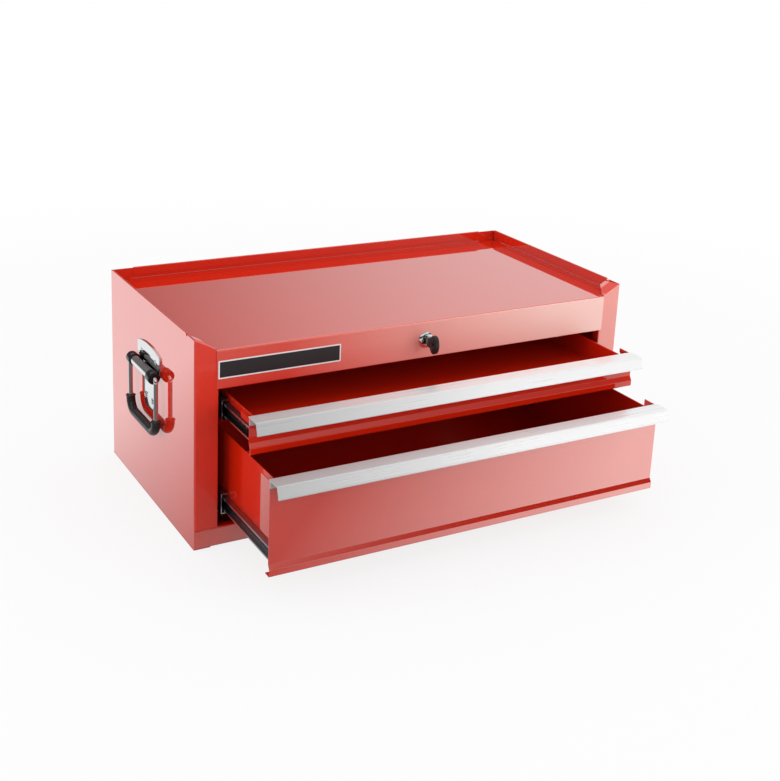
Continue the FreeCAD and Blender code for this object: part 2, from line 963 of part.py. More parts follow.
def lock_nut():
    """Hexagon nut that clamps the housing from behind the fascia."""
    radius = nut_across_flats / math.sqrt(3)
    corners = [
        (radius * math.cos(math.radians(60 * turn)),
         lock_height + radius * math.sin(math.radians(60 * turn)))
        for turn in range(6)
    ]
    nut = prism(corners, "Y", (front, front + nut_thickness))
    bore = bar("Y", (0, lock_height), lock_body_radius + lock_hole_play,
               (front - overrun, front + nut_thickness + overrun))
    return nut.cut(bore)


def blade_front():
    """Where the key's blade enters the plug."""
    return fascia_front - lock_flange_rise - plug_proud


def lock_plug():
    """Turning plug with the keyway in its face and a screw hole in its tail."""
    start = blade_front()
    plug = bar("Y", (0, lock_height), plug_radius, (start, plug_end))
    keyway = block(
        (-keyway_width / 2, keyway_width / 2),
        (start - overrun, start + blade_length + key_play),
        (lock_height - keyway_height / 2, lock_height + keyway_height / 2),
    )
    thread = bar("Y", (0, lock_height), cam_screw_shank_radius + rivet_play,
                 (start + blade_length + key_play, plug_end + overrun))
    return plug.cut([keyway, thread])


def key_blade():
    """Flat steel blade of the key, with its point in the keyway."""
    start = blade_front()
    half_width = keyway_width / 2 - key_play
    half_height = keyway_height / 2 - key_play
    tip = start + blade_length
    return prism([
        (start - key_neck, lock_height - half_height),
        (tip - half_height, lock_height - half_height),
        (tip, lock_height),
        (tip - half_height, lock_height + half_height),
        (start - key_neck, lock_height + half_height),
    ], "X", (-half_width, half_width))


def key_bow():
    """Moulded head of the key, with a neck and a hole for a ring."""
    neck_start = blade_front() - key_neck / 2
    neck_end = blade_front() - key_neck
    far = neck_end - bow_depth
    half = bow_height / 2
    head = prism([
        (neck_end, lock_height - half),
        (neck_end, lock_height + half),
        (far, lock_height + half),
        (far, lock_height - half),
    ], "X", (-bow_thickness / 2, bow_thickness / 2), [bow_corner] * 4)
    neck = block(
        (-bow_thickness / 2, bow_thickness / 2),
        (neck_end - bow_corner, neck_start),
        (lock_height - key_neck_height / 2, lock_height + key_neck_height / 2),
    )
    ring_hole = bar("X", (far + bow_hole_inset, lock_height), bow_hole_radius,
                    (-bow_thickness, bow_thickness))
    slot = block(
        (key_play - keyway_width / 2, keyway_width / 2 - key_play),
        (neck_end, neck_start + overrun),
        (lock_height - keyway_height / 2 + key_play, lock_height + keyway_height / 2 - key_play),
    )
    return joined(head, neck).cut([ring_hole, slot])


def lock_cam():
    """Cam on the plug's tail, whose pin stands in the slot of the lock bar."""
    reach = cam_orbit + cam_pin_radius + cam_edge
    half = cam_pin_radius + cam_edge
    arm = prism([
        (-half, lock_height - reach),
        (half, lock_height - reach),
        (half, lock_height + half),
        (-half, lock_height + half),
    ], "Y", (plug_end, plug_end + cam_thickness), [half - cam_pin_radius / 2] * 4)
    pin = bar("Y", (0, lock_height - cam_orbit), cam_pin_radius,
              (plug_end, plug_end + cam_thickness + cam_pin_length))
    hole = bar("Y", (0, lock_height), cam_screw_shank_radius + rivet_play,
               (plug_end - overrun, plug_end + cam_thickness + overrun))
    cam = joined(arm, pin).cut(hole)
    centre = FreeCAD.Vector(0, 0, lock_height)
    return cam.rotate(centre, DIRECTIONS["Y"], 45)


def cam_screw():
    """Screw that holds the cam on the plug."""
    seat = plug_end + cam_thickness
    head = bar("Y", (0, lock_height), cam_screw_radius, (seat, seat + cam_screw_head))
    shank = bar("Y", (0, lock_height), cam_screw_shank_radius,
                (plug_end + cam_thickness - cam_screw_shank, seat))
    driver = block(
        (-cam_screw_radius, cam_screw_radius),
        (seat + cam_screw_head / 2, seat + cam_screw_head + overrun),
        (lock_height - cam_screw_shank_radius / 4, lock_height + cam_screw_shank_radius / 4),
    )
    return joined(head, shank).cut(driver)


def bar_limits():
    """Lower and upper edge of the lock bar."""
    high = lock_height - cam_side + cam_pin_radius + bar_slot_play + bar_rim
    return high - bar_height, high


def lock_bar():
    """Bar across to the lock, with a leg behind the left post and a hook for each drawer."""
    low, high = bar_limits()
    leg_left = wall_inside + leg_side_gap
    leg_right = leg_left + leg_width
    hook_end = leg_right + hook_reach
    y = (bar_front, bar_back)
    across = block((leg_left, bar_end), y, (low, high))
    leg = block((leg_left, leg_right), y, (leg_foot, high))
    lower_hook_foot = (lower_slide + lower_top) / 2
    upper_hook_top = upper_top - pull_wall - upper_hook_gap
    hooks = [
        block((leg_right, hook_end), y, (lower_hook_foot, lower_hook_foot + hook_height)),
        block((leg_right, hook_end), y, (upper_hook_top - upper_hook_height, upper_hook_top)),
    ]
    slot_half = cam_pin_radius + bar_slot_play
    pin_high = lock_height - cam_side
    pin_low = lock_height - cam_orbit
    slot = block(
        (-cam_side - slot_half, -cam_side + slot_half),
        (bar_front - overrun, bar_back + overrun),
        (pin_low - slot_half, pin_high + slot_half),
    )
    return joined(across, leg, *hooks).cut(slot)


def lock_bar_guides():
    """Two hangers under the tray and a slotted bracket at the foot of the bar's leg."""
    low, high = bar_limits()
    ceiling = tray_height - sheet
    window_y = (bar_front - guide_play, bar_back + guide_play)
    window_z = (low - guide_play, high + guide_play)
    outer_y = (window_y[0] - guide_margin, window_y[1] + guide_margin)
    guides = []
    run = wall_inside + leg_side_gap + leg_width
    for share in guide_shares:
        x = run * (1 - share)
        hanger = block((x, x + guide_sheet), outer_y, (window_z[0] - guide_margin, ceiling))
        flange = block((x, x + guide_flange), outer_y, (ceiling - guide_sheet, ceiling))
        window = block((x - overrun, x + overrun), window_y, window_z)
        guides.append(joined(hanger.cut(window), flange))
    slot_x = (
        wall_inside + leg_side_gap - guide_play,
        wall_inside + leg_side_gap + leg_width + cam_throw + guide_play,
    )
    plate_x = (wall_inside, slot_x[1] + foot_guide_edge)
    plate_y = (window_y[0] - foot_guide_front, window_y[1] + foot_guide_back)
    plate_z = (foot_guide_height, foot_guide_height + guide_sheet)
    plate = block(plate_x, plate_y, plate_z)
    slot = block(slot_x, window_y, (plate_z[0] - overrun, plate_z[1] + overrun))
    tab = block((wall_inside, wall_inside + guide_sheet), plate_y,
                (foot_guide_height, foot_guide_height + guide_flange))
    guides.append(joined(plate.cut(slot), tab))
    return Part.makeCompound(guides)


def name_plate():
    """Blank plate on the fascia, with a raised border."""
    start = left + label_start
    end = start + label_length
    low = lock_height - label_height / 2
    high = lock_height + label_height / 2
    face = fascia_front - label_thickness
    plate = block((start, end), (face, fascia_front), (low, high))
    field = block(
        (start + label_border, end - label_border),
        (face - overrun, face + label_recess),
        (low + label_border, high - label_border),
    )
    return plate.cut(field)


def cabinet_pieces():
    """Every piece that stays still, by name."""
    front_post, rear_post = screw_places()
    pieces = {
        "top_panel": top_panel(),
        "back_panel": back_panel(),
        "bottom_panel": bottom_panel(),
        "name_plate": name_plate(),
        "slide_screws": slide_screws(),
        "lock_housing": lock_housing(),
        "lock_nut": lock_nut(),
        "lock_bar_guides": lock_bar_guides(),
    }
    paired = {
        "side_panel": side_panel(),
        "front_upright": upright(front_post),
        "rear_upright": upright(rear_post),
        "lower_cabinet_rail": cabinet_member(lower_slide),
        "upper_cabinet_rail": cabinet_member(upper_slide),
        "handle_plate": handle_plate(),
        "handle_bushes": handle_bushes(),
        "handle_rivets": handle_rivets(),
        "bail": bail(),
        "grip": grip(),
    }
    for name, piece in paired.items():
        pieces["left_" + name] = piece
        pieces["right_" + name] = mirrored(piece)
    return pieces


def drawer_pieces(name, sizes):
    """Every piece of one drawer and its slides, by name, with the drawer open."""
    foot, top, slide, distance, kick_height, return_gap = sizes
    closed = {
        "pan": drawer_pan(foot, top, slide),
        "front": drawer_front(foot, top, slide, kick_height, return_gap),
        "pull": drawer_pull(top),
        "slide_rivets": slide_rivets(slide),
        "left_rail": drawer_member(slide),
        "right_rail": mirrored(drawer_member(slide)),
    }
    pieces = {
        name + "_drawer_" + part: opened(piece, distance) for part, piece in closed.items()
    }
    cage = ball_cage(slide, distance)
    group = balls(slide, distance)
    pieces[name + "_left_cage"] = cage
    pieces[name + "_right_cage"] = mirrored(cage)
    pieces[name + "_left_balls"] = group
    pieces[name + "_right_balls"] = mirrored(group)
    return pieces


def lock_pieces():
    """The pieces that turn or slide with the lock, by name."""
    return {
        "lock_plug": lock_plug(),
        "lock_cam": lock_cam(),
        "cam_screw": cam_screw(),
        "key_blade": key_blade(),
        "key_bow": key_bow(),
        "lock_bar": lock_bar(),
    }


def main():
    """Builds each piece and writes one file for it."""
    os.makedirs("parts", exist_ok=True)
    drawers = {
        "lower": (lower_foot, lower_top, lower_slide, lower_open,
                  lower_kick_height, lower_return_gap),
        "upper": (upper_foot, upper_top, upper_slide, upper_open,
                  upper_kick_height, upper_return_gap),
    }
    pieces = cabinet_pieces()
    pieces.update(lock_pieces())
    for name, sizes in drawers.items():
        pieces.update(drawer_pieces(name, sizes))
    for name, piece in pieces.items():
        piece.exportStep("parts/" + name + ".step")
        box = piece.BoundBox
        print(name, len(piece.Solids), piece.isValid(), round(piece.Volume, 1),
              [round(value, 1) for value in (box.XMin, box.XMax, box.YMin, box.YMax,
                                             box.ZMin, box.ZMax)])


main()
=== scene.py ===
"""The looks of a portable tool box with two drawers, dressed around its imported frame."""

import logging
import math
from abc import ABC, abstractmethod
from dataclasses import dataclass
from enum import Enum
from typing import Callable, Iterable, Mapping, Optional, Sequence, Union

import bmesh
import bpy
from mathutils import Matrix, Vector

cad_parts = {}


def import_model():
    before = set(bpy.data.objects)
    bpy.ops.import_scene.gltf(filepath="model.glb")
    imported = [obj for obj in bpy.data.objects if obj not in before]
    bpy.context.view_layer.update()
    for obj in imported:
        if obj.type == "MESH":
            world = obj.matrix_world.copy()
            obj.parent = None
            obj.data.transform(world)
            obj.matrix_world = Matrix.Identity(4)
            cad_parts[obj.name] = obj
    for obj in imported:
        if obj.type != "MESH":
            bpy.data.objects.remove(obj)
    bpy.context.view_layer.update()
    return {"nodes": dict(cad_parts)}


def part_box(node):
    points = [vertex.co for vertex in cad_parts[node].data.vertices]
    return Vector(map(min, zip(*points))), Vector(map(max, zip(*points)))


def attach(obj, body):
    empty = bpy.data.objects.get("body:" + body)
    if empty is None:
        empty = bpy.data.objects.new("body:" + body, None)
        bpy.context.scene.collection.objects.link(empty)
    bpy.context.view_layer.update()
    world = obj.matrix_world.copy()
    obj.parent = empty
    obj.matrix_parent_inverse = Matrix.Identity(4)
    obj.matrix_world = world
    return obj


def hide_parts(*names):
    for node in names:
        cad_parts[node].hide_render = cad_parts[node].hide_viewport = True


log = logging.getLogger("tool_box")

Colour = tuple[float, float, float]
Point = tuple[float, float, float]
PlaceTest = Callable[[Vector], bool]
PairTest = Callable[[Vector, Vector], bool]

MM = 0.001
ORIGIN: Point = (0.0, 0.0, 0.0)
X_AXIS, Y_AXIS, Z_AXIS = (1.0, 0.0, 0.0), (0.0, 1.0, 0.0), (0.0, 0.0, 1.0)
ACROSS: Point = (-1.0, 1.0, 1.0)  # scale that mirrors from left to right
END_FOR_END: Point = (1.0, -1.0, 1.0)  # scale that mirrors from back to front
FACING = 0.9  # the share of a normal that makes a face look along an axis
TOUCH = 0.01 * MM  # how near a line or plane counts as on it
EXACT = 0.001 * MM  # how near counts as the same place
LONG = 1.0 * MM  # an edge past this length runs along the piece
SOFT_CREASE = 40.0  # the angle in degrees past which folded and rolled metal stays sharp


class Side(Enum):
    """The two sides of the box, by the sign of their X."""

    LEFT = -1
    RIGHT = 1

    def node(self, name: str) -> str:
        """The name of this side's node."""
        return f"{self.name.lower()}_{name}"


class Level(Enum):
    """The two drawers, by their heights and how far they stand open."""

    LOWER = (151.0 * MM, 55.0 * MM, 140.0 * MM)
    UPPER = (204.0 * MM, 180.0 * MM, 80.0 * MM)

    def __init__(self, top: float, slide: float, opened: float) -> None:
        """Keeps the heights of the pull's top and the slides' middle, and the opening at rest."""
        self.top, self.slide, self.opened = top, slide, opened

    def node(self, name: str) -> str:
        """The name of a node at this level."""
        return f"{self.name.lower()}_{name}"


# Shader graphs


class Value:
    """A number that runs through a shader and takes Python's operators."""

    def __init__(self, graph: "Graph", socket: bpy.types.NodeSocket) -> None:
        """Keeps the socket that the number comes from."""
        self.graph = graph
        self.socket = socket

    def __add__(self, other: "Term") -> "Value":
        """This number plus another."""
        return self.graph.math("ADD", self, other)

    __radd__ = __add__

    def __sub__(self, other: "Term") -> "Value":
        """This number less another."""
        return self.graph.math("SUBTRACT", self, other)

    def __rsub__(self, other: "Term") -> "Value":
        """Another number less this one."""
        return self.graph.math("SUBTRACT", other, self)

    def __mul__(self, other: "Term") -> "Value":
        """This number times another."""
        return self.graph.math("MULTIPLY", self, other)

    __rmul__ = __mul__

    def __or__(self, other: "Term") -> "Value":
        """The larger of this number and another."""
        return self.graph.math("MAXIMUM", self, other)

    def spread(self, low: float, high: float, smooth: bool = False) -> "Value":
        """Stretches a span of this number to the span from 0 to 1.

        Args:
            low: the number that becomes 0.
            high: the number that becomes 1.
            smooth: whether the ends ease in and out.

        Returns:
            The stretched number, held between 0 and 1.
        """
        settings = {"interpolation_type": "SMOOTHSTEP" if smooth else "LINEAR"}
        node = self.graph.node(
            "ShaderNodeMapRange",
            settings,
            {"Value": self, "From Min": low, "From Max": high},
        )
        return Value(self.graph, node.outputs["Result"])


Term = Union[float, Value]
Feed = Union[float, Sequence[float], Value, bpy.types.NodeSocket]


class Graph:
    """The nodes of one material or world."""

    def __init__(self, tree: bpy.types.NodeTree) -> None:
        """Starts from an empty tree."""
        self.tree = tree
        tree.nodes.clear()

    def node(
        self,
        kind: str,
        settings: Optional[Mapping[str, object]] = None,
        feeds: Optional[Mapping[Union[str, int], Feed]] = None,
    ) -> bpy.types.Node:
        """Adds one node.

        Args:
            kind: the node's type.
            settings: its own settings, which are set first.
            feeds: what each of its sockets holds or is linked to.

        Returns:
            The new node.
        """
        made = self.tree.nodes.new(kind)
        for name, setting in (settings or {}).items():
            setattr(made, name, setting)
        for name, feed in (feeds or {}).items():
            if isinstance(feed, Value):
                feed = feed.socket
            if isinstance(feed, bpy.types.NodeSocket):
                self.tree.links.new(feed, made.inputs[name])
            else:
                made.inputs[name].default_value = feed
        return made

    def math(self, operation: str, *terms: Term) -> Value:
        """Adds one Math node.

        Args:
            operation: what it does.
            terms: the numbers that it works on.

        Returns:
            The number that comes out.
        """
        feeds = dict(enumerate(terms))
        node = self.node("ShaderNodeMath", {"operation": operation}, feeds)
        return Value(self, node.outputs[0])

    def position(self, scale: Optional[Point] = None) -> bpy.types.NodeSocket:
        """The place on the piece in metres, stretched where a pattern is drawn out.

        Args:
            scale: how much each axis is stretched; a small number draws a pattern out.

        Returns:
            The vector socket.
        """
        source = self.node("ShaderNodeTexCoord").outputs["Object"]
        if scale is None:
            return source
        feeds = {"Vector": source, "Scale": scale}
        return self.node("ShaderNodeMapping", None, feeds).outputs["Vector"]

    def axes(self, place: bpy.types.NodeSocket) -> tuple[Value, Value, Value]:
        """The X, Y and Z of a place or direction."""
        parts = self.node("ShaderNodeSeparateXYZ", None, {0: place}).outputs
        return tuple(Value(self, parts[name]) for name in "XYZ")

    def noise(self, where: bpy.types.NodeSocket, scale: float, detail: float = 2.0) -> Value:
        """Soft cloudy noise from 0 to 1, with so many cells to the metre."""
        feeds = {"Vector": where, "Scale": scale, "Detail": detail}
        return Value(self, self.node("ShaderNodeTexNoise", None, feeds).outputs[0])

    def blend(
        self, share: Term, first: Union[Colour, bpy.types.NodeSocket], second: Colour
    ) -> bpy.types.NodeSocket:
        """A colour between two others.

        Args:
            share: how much of the second there is.
            first: the colour at a share of 0, or the socket that it comes from.
            second: the colour at a share of 1.

        Returns:
            The colour socket.
        """
        settings = {"data_type": "RGBA", "clamp_factor": True}
        start = (*first, 1.0) if isinstance(first, tuple) else first
        feeds = {0: share, 6: start, 7: (*second, 1.0)}
        return self.node("ShaderNodeMix", settings, feeds).outputs[2]

    def bump(
        self, height: Value, depth: float, under: Optional[bpy.types.NodeSocket] = None
    ) -> bpy.types.NodeSocket:
        """Raises the surface by a height.

        Args:
            height: the height from 0 to 1.
            depth: what a height of 1 is, in metres.
            under: the normal of a coarser relief that this one lies on.

        Returns:
            The normal socket.
        """
        feeds = {"Height": height, "Distance": depth}
        if under is not None:
            feeds["Normal"] = under
        return self.node("ShaderNodeBump", None, feeds).outputs["Normal"]

    def surface(self, **feeds: Feed) -> None:
        """Ends a material's graph in one coated surface.

        Args:
            feeds: what its sockets hold or are linked to, their names with underscores.
        """
        named = {k.replace("_", " "): v for k, v in feeds.items()}
        shader = self.node("ShaderNodeBsdfPrincipled", None, named)
        self.end(shader.outputs[0])

    def end(self, shader: bpy.types.NodeSocket) -> None:
        """Ends a material's graph in a shader."""
        self.node("ShaderNodeOutputMaterial", None, {"Surface": shader})

    def seen_or_mirrored(self) -> tuple[Value, Value]:
        """Tells how a surface or the room is looked at, in numbers that are 0 or 1.

        Returns:
            Whether the camera sees it itself, and whether it is seen mirrored or through glass.
        """
        rays = self.node("ShaderNodeLightPath").outputs
        camera = Value(self, rays["Is Camera Ray"])
        mirrored = Value(self, rays["Is Glossy Ray"]) | Value(self, rays["Is Transmission Ray"])
        return camera, mirrored


# Finishes


def shade(colour: Colour, by: float) -> Colour:
    """A colour made lighter or darker by a factor."""
    return tuple(c * by for c in colour)


@dataclass(frozen=True)
class Finish(ABC):
    """A finish that pieces share, with the record's slot that it stands for."""

    title: str
    slot: str
    colour: Colour

    def material(self) -> bpy.types.Material:
        """Makes the finish's material at its first use.

        Returns:
            The material that all pieces of this finish share.
        """
        made = bpy.data.materials.get(self.title)
        if made is None:
            made = bpy.data.materials.new(self.title)
            made.use_nodes = True
            self.mix(Graph(made.node_tree))
        return made

    def shades(self, graph: Graph, share: Term, dark: float, light: float) -> bpy.types.NodeSocket:
        """The colour between a darker and a lighter shade of itself, by the lighter's share."""
        return graph.blend(share, shade(self.colour, dark), shade(self.colour, light))

    @abstractmethod
    def mix(self, graph: Graph) -> None:
        """Builds the finish's nodes."""


@dataclass(frozen=True)
class Enamel(Finish):
    """Stoved gloss enamel on folded sheet: a clear mirror over a deep colour.

    Where it has a haze, the front face and the gussets behind it scatter what they mirror,
    and the front face's colour is painted paler from left to right, a painted reflection of the
    bright room.
    """

    mirror: float = 2.3
    gloss: float = 0.05
    haze: float = 0.0
    haze_line: float = -160.4 * MM
    haze_edge: float = 0.2 * MM
    haze_cover: float = 0.9
    gusset_sides: tuple[float, float] = (318.6 * MM, 318.9 * MM)
    gusset_back: tuple[float, float] = (-140.0 * MM, -142.0 * MM)
    gusset_foot: tuple[float, float] = (261.0 * MM, 263.0 * MM)
    # painted reflection: how much the front face is painted paler, over which span of X, toward
    # which colour
    pale: float = 0.0
    pale_span: tuple[float, float] = (-200.0 * MM, 200.0 * MM)
    pale_colour: Colour = (0.98, 0.62, 0.56)
    body: Optional[float] = None
    warmth: Colour = (1.0, 0.91, 0.80)
    coat_dull: float = 0.02
    sheet_wave: float = 0.05 * MM
    wave_cells: float = 9.0
    peel: float = 0.0015 * MM
    peel_cells: float = 700.0
    cloud_cells: float = 6.0
    dull_cells: float = 40.0

    def mix(self, graph: Graph) -> None:
        """Builds the enamel: faint clouding, long waves, a fine peel, any hazier face and any
        painted reflection.

        Args:
            graph: the material's nodes.
        """
        place = graph.position()
        cloud = graph.noise(place, self.cloud_cells)
        grain = graph.noise(place, self.peel_cells, 1.0)
        relief = graph.bump(graph.noise(place, self.wave_cells, 1.0), self.sheet_wave)
        relief = graph.bump(grain, self.peel, relief)
        dull = graph.noise(place, self.dull_cells, 3.0) * 0.04 + (self.gloss - 0.02)
        colour = self.shades(graph, cloud * 0.8 + grain * 0.2, 0.94, 1.05)
        clear: Term = 1.0
        if self.haze:
            x, y, z = graph.axes(place)
            front = y.spread(self.haze_line, self.haze_line - self.haze_edge)
            inside = 1.0 - graph.math("ABSOLUTE", x).spread(*self.gusset_sides)
            gusset = y.spread(*self.gusset_back) * z.spread(*self.gusset_foot)
            hazy = front | gusset * inside
            dull = dull + hazy * self.haze
            clear = 1.0 - hazy * self.haze_cover
            # painted reflection: the front face's base colour goes paler from left to right,
            # standing in for the bright room that it mirrors
            painted_reflection_share = x.spread(*self.pale_span) * front * self.pale
            colour = graph.blend(painted_reflection_share, colour, self.pale_colour)
        graph.surface(
            Base_Color=colour,
            Roughness=dull,
            IOR=self.body or self.mirror,
            Specular_Tint=(*self.warmth, 1.0),
            Normal=relief,
            Coat_Weight=clear,
            Coat_Roughness=self.coat_dull,
            Coat_IOR=self.mirror,
        )


@dataclass(frozen=True)
class Drawn(Finish):
    """Satin anodised aluminium, with the fine lines that its die draws along X."""

    dull: float = 0.29
    metal: float = 0.45
    # painted shade: how much, over which span of X and how dark the metal is painted toward its
    # left end
    deep: float = 0.75
    deep_span: tuple[float, float] = (-300.0 * MM, 50.0 * MM)
    deep_shade: float = 0.5
    line_depth: float = 0.004 * MM
    line_cells: Point = (3.0, 1400.0, 1400.0)
    broad_cells: Point = (1.0, 160.0, 160.0)
    cloud_cells: float = 12.0

    def mix(self, graph: Graph) -> None:
        """Builds the metal: drawn lines in tone, dullness and relief, and painted shade toward the
        left.

        Args:
            graph: the material's nodes.
        """
        lines = graph.noise(graph.position(self.line_cells), 1.0, 2.0)
        broad = graph.noise(graph.position(self.broad_cells), 1.0, 1.0)
        cloud = graph.noise(graph.position(), self.cloud_cells)
        metal = self.shades(graph, lines * 0.5 + broad * 0.5, 0.965, 1.01)
        x, _, _ = graph.axes(graph.position())
        # painted shade: the base colour is darkened toward the left end, standing in for the dimmer
        # light there
        deep = (1.0 - x.spread(*self.deep_span)) * self.deep
        graph.surface(
            Base_Color=graph.blend(deep, metal, shade(self.colour, self.deep_shade)),
            Metallic=self.metal,
            Roughness=lines * 0.08 + cloud * 0.06 + (self.dull - 0.07),
            Normal=graph.bump(lines, self.line_depth),
        )


@dataclass(frozen=True)
class Plated(Finish):
    """Polished chrome plate or bare polished steel."""

    dull: float = 0.06
    ripple: float = 0.01 * MM
    ripple_cells: float = 90.0
    haze_cells: float = 60.0

    def mix(self, graph: Graph) -> None:
        """Builds the plating: faint haze and the ripple of the polished steel under it.

        Args:
            graph: the material's nodes.
        """
        haze = graph.noise(graph.position(), self.haze_cells, 3.0)
        ripple = graph.noise(graph.position(), self.ripple_cells, 1.0)
        graph.surface(
            Base_Color=self.shades(graph, haze, 0.95, 1.03),
            Metallic=1.0,
            Roughness=haze * 0.06 + (self.dull - 0.03),
            Normal=graph.bump(ripple, self.ripple),
        )


@dataclass(frozen=True)
class RolledSteel(Finish):
    """Zinc or black steel strip, rolled along Y, with its faint flow lines."""

    dull: float = 0.32
    metal: float = 1.0
    line_depth: float = 0.006 * MM
    line_cells: Point = (900.0, 8.0, 900.0)
    mottle_cells: float = 120.0
    scuff_cells: Point = (60.0, 9.0, 420.0)
    scuff_span: tuple[float, float] = (0.58, 0.66)

    def mix(self, graph: Graph) -> None:
        """Builds the strip: rolling lines, mottle and small scuffs.

        Args:
            graph: the material's nodes.
        """
        lines = graph.noise(graph.position(self.line_cells), 1.0, 2.0)
        mottle = graph.noise(graph.position(), self.mottle_cells, 4.0)
        scuff = graph.noise(graph.position(self.scuff_cells), 1.0, 3.0).spread(*self.scuff_span)
        worn = lines * 0.3 + mottle * 0.5 + scuff * 0.3
        graph.surface(
            Base_Color=self.shades(graph, worn, 0.75, 1.3),
            Metallic=self.metal,
            Roughness=mottle * 0.16 + (self.dull - 0.08),
            Normal=graph.bump(lines, self.line_depth),
        )


@dataclass(frozen=True)
class Moulded(Finish):
    """Moulded plastic or rubber with a fine grain."""

    dull: float
    grain: float = 0.02 * MM
    grain_cells: float = 1500.0
    drift_cells: float = 25.0

    def mix(self, graph: Graph) -> None:
        """Builds the plastic: grain, and a slight drift in its sheen.

        Args:
            graph: the material's nodes.
        """
        place = graph.position()
        pores = graph.noise(place, self.grain_cells, 2.0)
        drift = graph.noise(place, self.drift_cells)
        graph.surface(
            Base_Color=self.shades(graph, pores * 0.5 + drift * 0.5, 0.8, 1.3),
            Roughness=drift * 0.12 + (self.dull - 0.06),
            Normal=graph.bump(pores, self.grain),
        )


PAINT: Colour = (0.76, 0.020, 0.004)
RED = Enamel("red_enamel", "red_paint", PAINT)
# the tray's fascia and the side posts' fronts carry a painted reflection that pales them toward the
# right
TRAY_RED = Enamel("tray_enamel", "red_paint", PAINT, haze=0.45, pale=0.95)
POST_RED = Enamel(
    "post_enamel",
    "red_paint",
    PAINT,
    mirror=3.2,
    haze=0.4,
    haze_line=-159.4 * MM,
    pale=0.5,
    body=1.7,
)
FRONT_RED = Enamel("front_enamel", "red_paint", PAINT, mirror=2.9)
# the upper front is the same enamel painted darker: painted shade
SHADED_UPPER_RED = Enamel("upper_enamel", "red_paint", shade(PAINT, 0.84), mirror=1.5)
# the drawer pans are the same enamel painted a little darker: painted shade
SHADED_PAN_RED = Enamel("pan_enamel", "red_paint", shade(PAINT, 0.9), mirror=1.45, gloss=0.16)
PULL = Drawn("drawn_aluminium", "pull_aluminium", (0.975, 0.975, 0.98))
ZINC = RolledSteel("zinc_strip", "zinc", (0.40, 0.42, 0.46))
BLACK_STRIP = RolledSteel("black_strip", "black_steel", (0.05, 0.05, 0.055), 0.3, 0.7)
CUT_EDGE = Plated("bare_cut_edge", "zinc", (0.80, 0.81, 0.84), 0.22)
DARK_EDGE = Plated("bright_cut_edge", "black_steel", (0.78, 0.79, 0.82), 0.22)
CHROME = Plated("chrome_plate", "chrome", (0.78, 0.79, 0.80))
BALL = Plated("polished_ball", "ball_steel", (0.70, 0.70, 0.72), 0.08)
KEY = Plated("nickel_key", "key_steel", (0.62, 0.60, 0.56), 0.16)
RUBBER = Moulded("black_rubber", "black_plastic", (0.012, 0.012, 0.013), 0.32)
BUSH = Moulded("gloss_black_bush", "black_plastic", (0.008, 0.008, 0.009), 0.1, 0.002 * MM)
PLATE_FIELD = Moulded("plate_field", "plate_dark", (0.020, 0.020, 0.022), 0.34, 0.004 * MM)
PLATE_BORDER = Moulded("plate_border", "plate_dark", (0.80, 0.80, 0.80), 0.3, 0.004 * MM)


# Bench work


def both_ends(place: PlaceTest) -> PairTest:
    """A test for edges whose two ends both pass a test of their place."""
    return lambda a, b: place(a) and place(b)


def through(a: Vector, b: Vector) -> bool:
    """Whether the edge between two places runs along X alone."""
    return abs(a.y - b.y) < EXACT and abs(a.z - b.z) < EXACT


